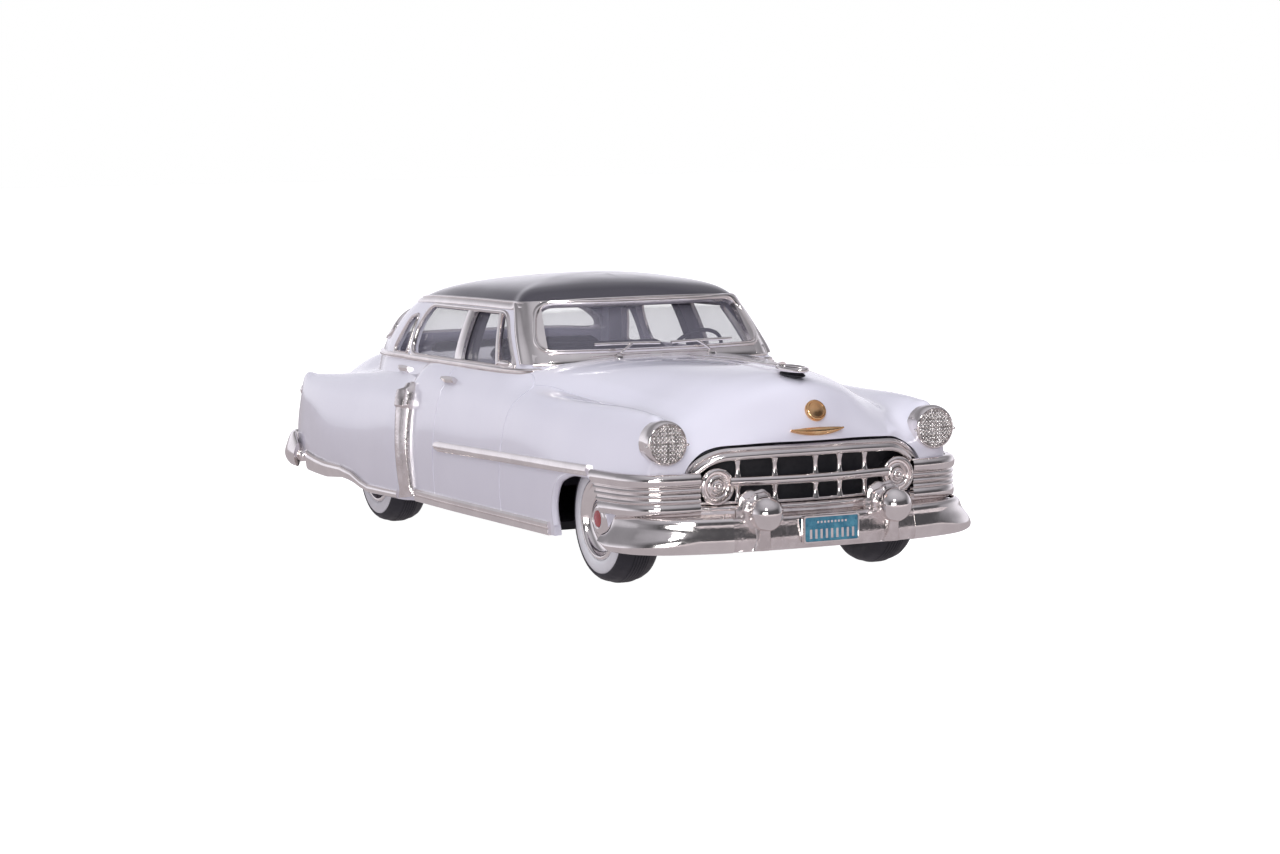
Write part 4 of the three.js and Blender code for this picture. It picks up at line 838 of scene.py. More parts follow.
def side_window_frames():
    count = 180
    outer = resampled(rounded(inset(SIDE_WINDOW, -0.15), 1.9), count, closed=True)
    inner = resampled(rounded(inset(SIDE_WINDOW, 0.4), 1.6), count, closed=True)

    def place(spot, out):
        point, normal = side_touch(spot[0], spot[1], GREENHOUSE_TREE)
        return point + normal * out
    section = [(t, out * 0.5) for t, out in FRAME_SECTION]
    shapes = [ring_frame(outer, inner, place, section)]
    sill = [side_touch(y, 24.75, GREENHOUSE_TREE) for y in np.linspace(-13.4, -10.2, 16)]
    shapes.append(strip_on(sill, lambda t: domed(0.2 + 0.3 * math.sin(math.pi * t), 0.5)))

    def bar(bottom, top, width, low=24.5, high=30.9, out=0.12):
        run = [(bottom + (top - bottom) * t, low + (high - low) * t) for t in np.linspace(0, 1, 24)]
        return laid_strip(run, lambda t: [(-width / 2, -0.5), (-width / 2, out), (-width * 0.3, out + 0.2),
                                          (width * 0.3, out + 0.2), (width / 2, out), (width / 2, -0.5)],
                          GREENHOUSE_TREE)
    shapes.append(bar(-9.8, -5.9, 0.5))
    light = merged(shapes)
    pair("side_window_frame", light, "plated", sharp=60)
    pair("door_pillar", bar(4, 4.3, 2.3, out=0.0), "plated", stands_for=[], sharp=60)
    depth = 1.7
    inner_post = []
    for z in np.linspace(24, 31.6, 8):
        y = 4 + (z - 25.3) * 0.05
        x = side_touch(y, z, GREENHOUSE_TREE)[0][0] - 0.75
        inner_post.append([(x, y - 1.3, z), (x, y + 1.3, z), (x - depth, y + 1.1, z), (x - depth, y - 1.1, z)])
    pair("inner_door_post", swept(inner_post), "interior", stands_for=[])
    outer = resampled(rounded(inset(QUARTER_WINDOW, -0.15), 1.1), 90, closed=True)
    inner = resampled(rounded(inset(QUARTER_WINDOW, 0.3), 0.8), 90, closed=True)
    quarter = ring_frame(outer, inner, place, section)
    pair("quarter_window_frame", quarter, "plated", stands_for=[], sharp=60)


def net_spot(post, level):
    """A point on the greenhouse's left side, and its normal, at a post number and a level number."""
    a, b = post * PER_POST, level * PER_LEVEL
    i, j = min(int(a), len(GREENHOUSE_HALF) - 2), min(int(b), GREENHOUSE_HALF.shape[1] - 2)
    u, v = a - i, b - j
    mix = [(1 - u) * (1 - v), (1 - u) * v, u * (1 - v), u * v]
    cells = [(i, j), (i, j + 1), (i + 1, j), (i + 1, j + 1)]
    point = sum(m * GREENHOUSE_HALF[c] for m, c in zip(mix, cells))
    normal = unit(sum(m * HALF_NORMALS[c] for m, c in zip(mix, cells)))
    return point, normal


def pillar_cover():
    """The plated mouldings between the windscreen's frame and the front door's window."""
    for_levels = np.linspace(0.75, 3.85, 44)
    section = [(0.0, -0.3), (0.0, 0.3), (0.12, 0.42), (0.25, 0.3), (0.34, 0.12), (0.5, 0.1), (0.6, 0.3), (0.72, 0.42),
               (0.85, 0.3), (0.9, 0.1), (1.0, 0.05), (1.0, -0.3)]
    rings = []
    for level in for_levels:
        rise = (level - 0.75) / 3.1
        start, end = 1.62 + 0.06 * rise, 2.5 + 0.42 * rise
        ring = []
        for t, out in section:
            point, normal = net_spot(start + (end - start) * t, level)
            ring.append(point + normal * out)
        rings.append(ring)
    pair("pillar_cover", swept(rings), "plated", stands_for=[], sharp=50)


def belt_moulding():
    """The strip under the side windows, carried round the foot of the windscreen pillar."""
    spots = [net_spot(post, 0.27) for post in np.linspace(1.75, 6.6, 150)]
    section = [(-0.45, -0.4), (-0.45, 0.2), (-0.34, 0.36), (-0.14, 0.4), (0.0, 0.24), (0.12, 0.36), (0.3, 0.34),
               (0.42, 0.2), (0.42, -0.4)]
    pair("belt_moulding", strip_on(spots, lambda t: section), "plated", stands_for=[], sharp=50)


def roof_rail():
    """The plated band between the windows and the drip moulding, deepest over the windscreen."""
    profile = [(0.0, -0.25), (0.0, 0.06), (0.15, 0.14), (0.55, 0.2), (0.75, 0.16), (0.82, 0.02), (0.9, 0.14), (1.0, 0.1),
               (1.0, -0.25)]
    rings = []
    for post in np.linspace(0, 7.0, 170):
        over_screen = 3.52
        over_doors = 3.25
        foot = np.interp(post, [0, 1.9, 2.8, 6.4, 7.0], [over_screen, over_screen, over_doors, over_doors, 3.85])
        ring = []
        for t, out in profile:
            point, normal = net_spot(post, foot + (3.97 - foot) * t)
            ring.append(point + normal * out)
        rings.append(ring)
    piece("roof_rail", both(swept(rings)), "plated", [], sharp=50)


def cowl_panel():
    """The bright panel between the hood and the windscreen."""
    section = [(0.6, -0.3), (0.6, 0.12), (0.72, 0.3), (0.95, 0.26), (1.15, 0.34), (1.24, 0.2), (1.24, -0.3)]
    rings = []
    for post in np.linspace(0.0, 1.9, 60):
        ring = []
        for level, out in section:
            point, normal = net_spot(post, level)
            ring.append(point + normal * out)
        rings.append(ring)
    half = swept(rings)
    piece("cowl_panel", both(half), "plated", [], sharp=50)


def rear_window_frame():
    outer = resampled(rounded(inset(REAR_WINDOW, -0.3), 2.1), 140, closed=True)
    inner = resampled(rounded(inset(REAR_WINDOW, 0.2), 1.7), 140, closed=True)

    def place(spot, out):
        point, normal = touch((spot[0], 120, spot[1]), (0, -1, 0), GREENHOUSE_TREE)
        return point + normal * out
    shape = ring_frame(outer, inner, place, [(t, out * 0.6) for t, out in FRAME_SECTION])
    piece("rear_window_surround", shape, "plated", [], sharp=60)


def glazing():
    depth, thickness = 0.75, 0.4
    half = GREENHOUSE_HALF

    def pane(net):
        normal = net_normals(net)
        return merged([grid(net - normal * depth), grid(net - normal * (depth + thickness))])
    low, high = 5, 4 * PER_LEVEL - 4
    front = half[: int(1.95 * PER_POST) + 1, low:high]
    front = np.concatenate([front[:0:-1] * FLIP, front])
    piece("windscreen_pane", pane(front), "glass", ["windscreen_glass"])
    rear = half[int(6.05 * PER_POST) :, low:high]
    rear = np.concatenate([rear, rear[-2::-1] * FLIP])
    piece("rear_window_pane", pane(rear), "glass", ["rear_window_glass"])
    side = half[int(2.5 * PER_POST) : int(5.8 * PER_POST) + 1, 2:high]
    pair("side_glazing", pane(side), "glass")


def wipers():
    pivot, elbow, inner, outer = [np.array(p, float) for p in
                                  ((6.6, -21.2, 25.9), (4.6, -21, 27.3), (0.8, -21.2, 27.2), (9.8, -20.6, 27.3))]
    shapes = [lathe([(0, 0), (0.62, 0), (0.62, 0.25), (0.42, 0.5), (0, 0.55)], (0, -0.5, 0.85), pivot - [0, 0, 0.4], 24)]
    shapes.append(tube(smooth([pivot, (pivot + elbow) / 2 + [0, -0.15, 0.1], elbow], 6), 0.17, 10))
    shapes.append(tube([inner, elbow, outer], 0.2, 10))
    pair("wiper", merged(shapes), "plated")


windscreen_frame()
side_window_frames()
pillar_cover()
belt_moulding()
roof_rail()
cowl_panel()
rear_window_frame()
glazing()
wipers()


# ---------- front end ----------
BUMPER_FRONT = -64.0
BUMPER_HALF_PATH = [(0, BUMPER_FRONT), (8, -63.8), (15, -62.7), (20, -60.6), (22.6, -57.7), (23.4, -55),
                    (23.55, -52.8)]


def plan_path(half, count):
    full = [(-x, y) for x, y in reversed(half[1:])] + list(half)
    path = resampled(smooth(np.array(full, float), 12), count)
    along = unit(np.gradient(path, axis=0))
    outward = np.stack([along[:, 1], -along[:, 0]], axis=1)
    return path, outward


def plan_sweep(path, outward, section_at):
    count = len(path)
    rings = []
    for i in range(count):
        ring = [(path[i][0] + outward[i][0] * out, path[i][1] + outward[i][1] * out, up)
                for out, up in section_at(i / (count - 1))]
        rings.append(ring)
    return rings


def closed_smooth(points, per_span=4):
    p = np.asarray(points, float)
    line = smooth(np.concatenate([p[-2:], p, p[:2]]), per_span)
    return line[2 * per_span : (len(p) + 2) * per_span]


def bumper_section(t):
    """The front bumper's (out, up) outline at t along it: it leans, most of all towards its ends."""
    from_end = min(t, 1 - t)
    end = min(1, from_end * 22 + 0.55)
    low, high, mid = 7.2 - 2 * end, 7.2 + 2.2 * end, 6.9
    inside = -0.75 - 0.9 * min(1, from_end * 5)
    flare = 1.0 * max(0, 1 - from_end * 4.5)
    back = -0.35 - flare * 1.1
    points = [(inside + back * 0.5, high - 0.5), (inside * 0.4 + back, high), (back, high - 0.25),
              (back * 0.55, mid + 1.2 * end), (0.05 + flare * 0.4, mid), (flare * 0.92, mid - 0.85 * end),
              (flare * 0.85 - 0.15, low + 0.35), (inside * 0.55, low + 0.02), (inside, low + 0.4)]
    return closed_smooth(points, 5)


def front_bumper():
    count, seam = 181, 11.9
    path, outward = plan_path(BUMPER_HALF_PATH, count)
    rings = np.array(plan_sweep(path, outward, bumper_section))
    for i, ring in enumerate(rings):
        from_end = min(i, count - 1 - i) / (count - 1)
        ring[:, 1] += max(0, 1 - from_end * 11) * (ring[:, 2] - 5.2) * 0.62
    x = path[:, 0]
    wing = rings[x >= seam]
    middle = rings[np.abs(x) <= seam + 0.3]
    lip = wing[0] * [1, 1, 1] + (wing[0].mean(axis=0) - wing[0]) * 0.05
    piece("front_bumper_wings", both(swept([lip, *wing])), "plated", ["front_bumper"], sharp=50)
    centre = middle.mean(axis=1, keepdims=True)
    piece("front_bumper_middle", swept(centre + (middle - centre) * 0.97), "grainy", [], sharp=50)
    balls, feet = [], []
    low, _ = node_box("front_bumper")
    radius, guard_x, guard_z = 2.05, 8.55, 9.8
    centre_y = low[1] + radius
    for sign in (LEFT, RIGHT):
        place = np.array([sign * guard_x, centre_y, guard_z])
        ball = [(radius * math.sin(t), -radius * math.cos(t)) for t in np.linspace(0, 1.75, 30)]
        neck = [(1.93, 0.75), (1.86, 1.1), (1.8, 1.7), (0, 1.7)]
        balls.append(lathe(ball + neck, (0, 1, 0), place, 56))
        feet.append(guard_collar(place + [0, 1.15, 0]))
        feet.append(guard_foot(place[0]))
    piece("bumper_guards", merged(balls), "plated", [], sharp=50)
    piece("bumper_guard_feet", merged(feet), "grainy", [], sharp=50)


def splash_pan():
    """The rough cast strip that fills the gap between the bumper and the grille."""
    half = [(0, -61.3), (6, -60.9), (11, -59.7), (15, -58.4), (18.4, -57.6), (20.4, -56.6), (21.6, -54.8), (22, -52.6)]
    path, outward = plan_path(half, 120)
    section = [(-0.9, 7.8), (0.15, 7.8), (0.3, 8.6), (0.12, 9.2), (0.2, 9.5), (-0.1, 9.9), (-0.9, 9.9)]
    piece("splash_pan", swept(plan_sweep(path, outward, lambda t: section)), "grainy", [], sharp=50)


def guard_collar(place):
    """The lumpy collar behind a guard's ball."""
    profile = [(1.75, -0.1), (2.15, 0.0), (2.35, 0.3), (2.3, 0.6), (2.05, 0.75), (2.2, 0.95), (2.62, 1.2), (2.66, 1.6),
               (2.4, 2.0), (0, 2.0)]
    points, faces = lathe(profile, (0, 1, 0), place, 48)
    away = points - place
    angle = np.arctan2(away[:, 2], away[:, 0])
    lumps = 1 + 0.05 * np.sin(angle * 5 + away[:, 1] * 2) + 0.03 * np.sin(angle * 11)
    away[:, [0, 2]] *= lumps[:, None]
    return away + place, faces


def guard_foot(x):
    """The ridge from a guard's ball down over the bumper, spreading at the bottom."""
    def level(half, z, y0, y1, crease):
        edge = [(x - half, y0, z), (x - half * 0.8, y0 - 0.35, z), (x - half * 0.45, (y0 + y1) / 2 + crease, z),
                (x - half * 0.22, y1, z), (x + half * 0.22, y1, z), (x + half * 0.45, (y0 + y1) / 2 + crease, z),
                (x + half * 0.8, y0 - 0.35, z), (x + half, y0, z)]
        return smooth(np.array(edge, float), 4)
    rows = [level(3.0, 5.45, -63.0, -64.15, 0.1), level(2.6, 6.2, -63.1, -64.4, 0.25),
            level(2.25, 7.2, -63.0, -64.6, 0.35), level(2.05, 8.3, -62.6, -64.75, 0.3),
            level(1.9, 9.2, -62.4, -64.8, 0.2)]
    return swept(smooth(np.array(rows), 5))


def number_plate():
    low, high = node_box("front_plate")
    border = 0.2
    face = low[1]
    back = high[1] + 0.22
    outline = rounded([(low[0], low[2]), (high[0], low[2]), (high[0], high[2]), (low[0], high[2])], 0.3, 4)
    count = len(outline)
    centre = outline.mean(axis=0)
    half = np.array([high[0] - low[0], high[2] - low[2]]) / 2
    inner = centre + (outline - centre) * (half - border) / half
    rings = [along_y_ring(outline, back), along_y_ring(outline, face + 0.08), along_y_ring(
        centre + (outline - centre) * (half - 0.06) / half, face), along_y_ring(
        centre + (inner - centre) * 1.02, face), along_y_ring(inner, face + 0.12)]
    frame_points, frame_faces = grid(np.array(rings), wrap_columns=True)
    piece("plate_border", (frame_points, frame_faces), "plated", ["front_plate"])
    field = grid(np.array([along_y_ring(inner, face + 0.14), along_y_ring(centre + (inner - centre) * 0.02, face + 0.14),
                           ]), wrap_columns=True)
    piece("plate_field", field, "plate")
    marks = []
    for z0, z1, widths in ((6.5, 7.6, [0.3] * 9), (8.3, 8.55, [0.24] * 9)):
        gap = 0.4 if z0 < 7 else 0.22
        total = sum(widths) + gap * (len(widths) - 1)
        x = -total / 2
        for width in widths:
            marks.append(block((x, face + 0.02, z0), (x + width, face + 0.2, z1)))
            x += width + gap
    piece("plate_bars", merged(marks), "plated")
    return count


def along_y_ring(outline, y):
    return [(a, y, b) for a, b in outline]


GRILLE_FACE, GRILLE_BOW, GRILLE_DEPTH = -61.4, 0.0145, 1.5
GRILLE_CORNERS = [(-16, 9.7), (-16, 14.7), (-12.7, 17.1), (-6, 17.4), (6, 17.4), (12.7, 17.1), (16, 14.7), (16, 9.7)]
DIVIDERS = [-9.6, -5.2, 0, 3.3, 7]


def bowed(x, y, z):
    return (x, GRILLE_FACE + GRILLE_BOW * x * x + y, z)


def rail(z, half_height, x0, x1, depth, front=0.0):
    """A round-faced bar across the grille, following its bow."""
    section = [(half_height * math.sin(t), -math.cos(t)) for t in np.linspace(0, 2 * math.pi, 16, endpoint=False)]
    rings = []
    for x in np.linspace(x0, x1, 60):
        rings.append([bowed(x, front + depth / 2 + out * depth / 2, z + up) for up, out in section])
    return swept(rings)


def grille():
    outline = rounded(GRILLE_CORNERS, 3.2, 12)
    arch = outline[outline[:, 1] > 13.3]
    arch = arch[np.argsort(np.arctan2(arch[:, 0], arch[:, 1] - 9.0))]
    path = resampled(arch, 140)
    along = unit(np.gradient(path, axis=0))
    inward = np.stack([along[:, 1], -along[:, 0]], axis=1)
    section = [(0.0, 1.5), (0.0, 0.35), (0.08, 0.05), (0.3, -0.08), (0.5, 0.02), (0.62, 0.16), (0.76, 0.08), (1.0, -0.1),
               (1.3, -0.1), (1.52, 0.1), (1.62, 0.45), (1.62, 1.5)]
    rings = [[bowed(p[0] + n[0] * a, out, p[1] + n[1] * a) for a, out in section] for p, n in zip(path, inward)]
    shapes = [swept(rings)]
    shapes.append(rail(13.2, 0.62, -10.6, 10.6, 1.3, -0.1))
    shapes.append(rail(10.75, 0.24, -14.1, 14.1, 0.9, 0.3))
    shapes.append(rail(10.05, 0.42, -15.6, 15.6, 1.5, -0.05))
    for x in DIVIDERS:
        for z0, z1 in ((10.8, 12.9), (13.5, 15.9)):
            middle = (z0 + z1) / 2
            place = bowed(x, 0.6, middle)
            reach = (z1 - z0) / 2
            profile = [(0, -reach), (0.5, -reach), (0.4, -reach + 0.4), (0.3, -reach + 0.75), (0.3, reach - 0.75),
                       (0.4, reach - 0.4), (0.5, reach), (0, reach)]
            shapes.append(lathe(profile, (0, 0, 1), place, 20))
    piece("grille_bars", merged(shapes), "plated", ["grille"], sharp=50)
    rows = [[bowed(x, 2.1, z) for x in np.linspace(-15.6, 15.6, 40)] for z in (9.5, 12, 14, 17)]
    piece("grille_recess", grid(np.array(rows)), "backing", ["grille_backing"])
    for_gap = [(p[0] - n[0] * 0.1, p[1] - n[1] * 0.1) for p, n in zip(path, inward)]
    gap_rings = [[bowed(a, out, b) for out in (0.35, 2.0)] + [bowed(a * 1.0 + n[0] * 0.6, 2.0, b + n[1] * 0.6)]
                 for (a, b), n in zip(for_gap, inward)]
    piece("grille_shadow_gap", swept(gap_rings), "backing", [], sharp=50)


MATERIALS["lens"] = finish_of("moulded_lens", ((0.60, 0.58, 0.57), (0.82, 0.80, 0.79)), (0.08, 0.18),
                              (2600, 0.08, 0.03), metallic=0.95, tone_scale=900)


def headlamp():
    low, high = node_box("headlamp_left")
    x, z = (low[0] + high[0]) / 2, (low[2] + high[2]) / 2
    face = low[1]
    radius = (high[0] - low[0]) / 2
    rim = [(radius - 0.1, 2.6), (radius - 0.04, 1.6), (radius, 1.0), (radius - 0.03, 0.7), (radius - 0.14, 0.35),
           (radius - 0.26, 0.15), (radius - 0.36, 0.12), (radius - 0.42, 0.22), (radius - 0.46, 0.45), (radius - 0.5, 0.6)]
    shapes = [lathe(rim, (0, 1, 0), (x, face, z), 72)]
    for angle in (math.pi, 0.0):
        spot = np.array([x + math.cos(angle) * (radius - 0.1), face + 0.4, z - 0.2])
        shapes.append(ellipsoid((0.26, 0.3, 0.2), spot, 0, 12, 16))
    pair("headlamp", merged(shapes), "plated", sharp=60)
    lens_radius = radius - 0.42
    pitch = 0.5
    count = 97
    span = np.linspace(-lens_radius, lens_radius, count)
    gx, gz = np.meshgrid(span, span, indexing="ij")
    r = np.sqrt(gx**2 + gz**2)
    waffle = (np.abs(np.sin(math.pi * gx / pitch)) * np.abs(np.sin(math.pi * gz / pitch))) ** 0.5
    edge = np.clip((lens_radius - r) / 0.25, 0, 1)
    height = 0.12 + 0.2 * (1 - (r / lens_radius) ** 2) + 0.36 * waffle * edge
    net = np.stack([x + gx, face + 0.55 - height, z + gz], axis=-1)
    points, faces = grid(net)
    flat_r = r.reshape(-1)
    faces = [face_ for face_ in faces if max(flat_r[list(face_)]) < lens_radius]
    pair("headlamp_lens", (points, faces), "lens", stands_for=[], sharp=80)


def parking_lamp():
    low, high = node_box("parking_lamp_left")
    x, z = (low[0] + high[0]) / 2, (low[2] + high[2]) / 2
    face = low[1]
    radius = (high[0] - low[0]) / 2
    profile = [(radius * 0.9, 3.4), (radius * 0.9, 1.4), (radius, 1.1), (radius, 0.75), (radius - 0.12, 0.55), (radius - 0.3, 0.5),
               (radius - 0.42, 0.62), (radius - 0.5, 0.85), (radius - 0.68, 0.85), (radius - 0.78, 0.6),
               (radius - 0.95, 0.5), (radius - 1.1, 0.6), (radius - 1.18, 0.78), (radius - 1.34, 0.74),
               (radius - 1.45, 0.48), (radius - 1.62, 0.36), (radius - 1.72, 0.5), (0.36, 0.5), (0.3, 0.22),
               (0.2, 0.06), (0, 0)]
    pair("parking_lamp", lathe(profile, (0, 1, 0), (x, face, z), 64), "plated", sharp=45)


WRAP = {"low": 9.5, "high": 14.4}


def wrap_trim():
    path = np.array([(14.3, -59.0), (15.6, -58.98), (16.8, -58.8), (18.4, -58.45), (19.9, -57.8), (20.9, -56.9),
                     (21.7, -55.6), (22.35, -53.6), (22.95, -50.2)], float)
    line = resampled(smooth(path, 12), 64)
    along = unit(np.gradient(line, axis=0))
    outward = np.stack([along[:, 1], -along[:, 0]], axis=1)
    low, high = WRAP["low"], WRAP["high"]
    section = [(-0.7, high), (-0.7, low), (0.1, low), (0.28, low + 0.12), (0.34, low + 0.6), (0.28, low + 1.1),
               (0.06, low + 1.3)]
    ribs = ((low + 1.35, 0.62), (low + 2.0, 0.62), (low + 2.65, 0.62))
    for start, width in ribs:
        section += [(0.04, start + 0.02), (0.2, start + width * 0.2), (0.3, start + width * 0.5),
                    (0.2, start + width * 0.8), (0.02, start + width)]
    top = low + 3.32
    section += [(0.06, top), (0.3, top + 0.15), (0.44, top + 0.5), (0.46, top + 0.95), (0.3, top + 1.35), (0.0, high)]
    rings = []
    for i, (p, n) in enumerate(zip(line, outward)):
        t = i / (len(line) - 1)
        sweep_back = max(0, t - 0.75) * 4
        rings.append([(p[0] + n[0] * out, p[1] + n[1] * out + sweep_back * (z - low) * 0.6, z) for out, z in section])
    pair("wrap_trim", swept(rings), "plated", sharp=50)


def hood_ornament():
    low, high = node_box("hood_ornament")
    seat = lambda y: top_touch(0.02, y, BODY_TREE)[0][2]
    half_length = 3.0
    ring_y = low[1] + half_length
    lift = seat(ring_y) + 0.85
    angles = np.linspace(0, 2 * math.pi, 64, endpoint=False)
    loop = [(1.3 * math.sin(a), ring_y + (half_length - 0.3) * math.cos(a), lift + 0.1 * math.cos(a)) for a in angles]
    shapes = [tube(loop, 0.3, 14, closed=True)]
    # Black pads under the ring: painted shade under the ornament.
    shade_pads = [(1.2, 2.4, 0.34, 0.42), (1.0, 2.2, 0.3, 0.62)]
    foot = [ellipsoid((across, along_it, thick), (0, ring_y, seat(ring_y) + up - 0.25), 0.06)
            for across, along_it, thick, up in shade_pads]
    tail = [(0, y, max(seat(y) + lift_here, 24)) for y, lift_here in
            ((ring_y + 2.4, 0.75), (ring_y + 4.5, 0.5), (-46, 0.3), (-40, 0.2), (-33, 0.15), (-27.5, 0.1))]
    line = smooth(np.array(tail), 8)
    radii = np.interp(np.linspace(0, 1, len(line)), [0, 0.12, 0.35, 1], [0.5, 0.34, 0.16, 0.12])
    shapes.append(tube(line, radii, 12))
    piece("hood_ornament_loop", merged(shapes), "plated", ["hood_ornament"], sharp=60)
    # A black disc filling the ring's opening: painted shade inside the ring.
    hole = lathe([(0, 0), (1, 0)], (0, 0, 1), (0, 0, 0), 40)
    points = hole[0] * [0.98, half_length - 0.55, 1] + [0, ring_y, lift - 0.05]
    piece("hood_ornament_painted_shade", merged([(points, hole[1]), *foot]), "backing", [])


def hood_medallion():
    low, high = node_box("hood_medallion")
    centre = (low + high) / 2
    point, normal = front_touch(0.02, centre[2], BODY_TREE)
    facing = unit([0, normal[1], normal[2]])
    disc = lathe([(1.3, -0.3), (1.3, 0.28), (1.2, 0.42), (1.05, 0.44), (0.96, 0.34), (0.8, 0.36), (0.45, 0.5), (0, 0.56)],
                 facing, point, 56)
    run = [(x, 18.75 + 0.012 * x * x) for x in np.linspace(-3.4, 3.4, 50)]

    def section(t):
        half = 0.5 * math.sin(math.pi * min(max(t, 0.03), 0.97)) ** 0.5
        return domed(half, 0.5)
    bar = laid_strip(run, section, BODY_TREE, front_touch)
    piece("hood_badge", merged([disc, bar]), "gold", ["hood_medallion"], sharp=50)


front_bumper()
splash_pan()
number_plate()
grille()
headlamp()
parking_lamp()
wrap_trim()
hood_ornament()
hood_medallion()


# ---------- rear end ----------
REAR_HALF_PATH = [(0, 65.6), (9, 65.5), (16, 65.1), (20.2, 64.3), (22.6, 62.7), (23.45, 60), (23.55, 56.4)]
REAR_GUARD_X = 9.4


def rear_bumper():
    path, outward = plan_path(REAR_HALF_PATH, 150)

    def section(t):
        from_end = min(t, 1 - t)
        grow = min(1, from_end * 14 + 0.55)
        depth = 0.42 + 0.58 * min(1, from_end * 9)
        low, mid, high = 6.1, 7.7, 7.7 + 3.3 * grow
        points = [(-2.2, high - 0.5), (-1.7, high), (-1.2, high - 0.3), (-0.38, mid + 1.3 * grow), (-0.03, mid),
                  (-0.22, mid - 0.8), (-0.9, low), (-1.7, low - 0.05), (-2.2, low + 0.4)]
        return [(-out * depth, up) for out, up in closed_smooth(points, 4)]
    shapes = [swept(plan_sweep(path, outward, section))]
    _, high = node_box("rear_bumper")
    for sign in (LEFT, RIGHT):
        rings = []
        for y, shrink in ((64.2, 0), (high[1] - 0.6, 0), (high[1] - 0.25, 0.1), (high[1] - 0.05, 0.35), (high[1], 0.7)):
            half, low_z, high_z = 1.7 - shrink, 6 + shrink, 11.4 - shrink
            outline = [(-half, low_z), (half, low_z), (half, high_z), (-half, high_z)]
            rings.append([(sign * REAR_GUARD_X + a, y, b) for a, b in rounded(outline, 1, 6)])
        shapes.append(swept(rings))
    piece("rear_bumper_bar", merged(shapes), "plated", ["rear_bumper"], sharp=50)


def tail_lamp():
    low, high = node_box("tail_lamp_left")
    x, z = (low[0] + high[0]) / 2, (low[2] + high[2]) / 2
    back = low[1] - 0.6
    lens = [(0.9, 0.5), (0.9, 0.95), (0.84, 1.15), (0.7, 1.33), (0.5, 1.48), (0.25, 1.57), (0, 1.6)]
    bezel = [(0.96, 0.0), (1.0, 0.5), (0.98, 0.8), (0.94, 0.9), (0.88, 0.85), (0.86, 0.6)]
    pair("tail_lamp", lathe(lens, (0, 1, 0), (x, back, z), 40), "red")
    pair("tail_lamp_bezel", lathe(bezel, (0, 1, 0), (x, back, z), 40), "plated", stands_for=[])


rear_bumper()
tail_lamp()


# ---------- interior ----------
def bench_shape(node):
    """A bench seat with pleats across its cushion and back."""
    low, high = node_box(node)
    front, back, floor, top = low[1], high[1], low[2], high[2]
    outline = [(front + 0.4, floor), (front, floor + 3.4), (front + 0.3, floor + 6.2), (front + 1.6, floor + 6.9),
               (front + 5, floor + 6.6), (back - 5.4, floor + 6.3), (back - 4.4, floor + 7.4), (back - 3.4, top - 2.2),
               (back - 2.9, top - 0.4), (back - 1.7, top), (back - 0.7, top - 0.5), (back, floor + 7), (back, floor)]
    line = closed_smooth(outline, 5)
    centre = line.mean(axis=0)
    rings = []
    pleat = 2.2
    ends = np.linspace(low[0], high[0], 97)
    for x in ends:
        edge = min(x - low[0], high[0] - x)
        shrink = 1 - 0.08 * max(0, 1 - edge / 1.2) ** 2
        dip = 0.16 * abs(math.sin(math.pi * x / pleat)) ** 0.4 - 0.16
        ring = []
        for a, b in line:
            away = unit(np.array([a, b]) - centre)
            ring.append((x, centre[0] + (a - centre[0]) * shrink + away[0] * dip, centre[1] + (b - centre[1]) * shrink + away[1] * dip))
        rings.append(ring)
    return swept(rings)


def interior():
    piece("front_bench", bench_shape("front_seat"), "interior", ["front_seat"], sharp=50)
    piece("rear_bench", bench_shape("rear_seat"), "interior", ["rear_seat"], sharp=50)
    low, high = node_box("dashboard")
    outline = closed_smooth([(low[1], low[2]), (low[1], high[2] - 1), (low[1] + 0.8, high[2] - 0.15), (low[1] + 2.2, high[2]),
                             (high[1] - 0.5, high[2] - 0.7), (high[1], high[2] - 1.5), (high[1] - 0.6, low[2])], 4)
    rings = [[(x, a, b) for a, b in outline] for x in np.linspace(low[0], high[0], 30)]
    dials = [lathe([(0.9, 0), (0.9, 0.25), (0.75, 0.3), (0.7, 0.2), (0, 0.2)], (0, 1, 0.3), (x, high[1] - 0.2, high[2] - 1.3), 28)
             for x in (8.2, 11.2)]
    piece("dash_panel", merged([swept(rings), *dials]), "interior", ["dashboard"], sharp=50)
    low, high = node_box("steering_wheel")
    radius = (high[0] - low[0]) / 2
    x = (high[0] + low[0]) / 2
    axis = unit([0, 0.75, 0.66])
    u, v, w = basis_from(axis)
    hub = np.array([x, -8.6, 25.2])
    angles = np.linspace(0, 2 * math.pi, 60, endpoint=False)
    rim = [hub + (u * math.cos(a) + v * math.sin(a)) * (radius - 0.28) for a in angles]
    shapes = [tube(rim, 0.26, 12, closed=True)]
    for a in (0.35, math.pi - 0.35):
        tip = hub + (u * math.cos(a) - v * math.sin(a) * 0.6) * (radius - 0.4)
        shapes.append(tube([hub, tip], 0.2, 8))
    shapes.append(tube([hub - w * 3.3, hub + w * 0.3], [0.5, 0.55], 16))
    piece("steering_wheel_rim", merged(shapes), "interior", ["steering_wheel"], sharp=60)


interior()


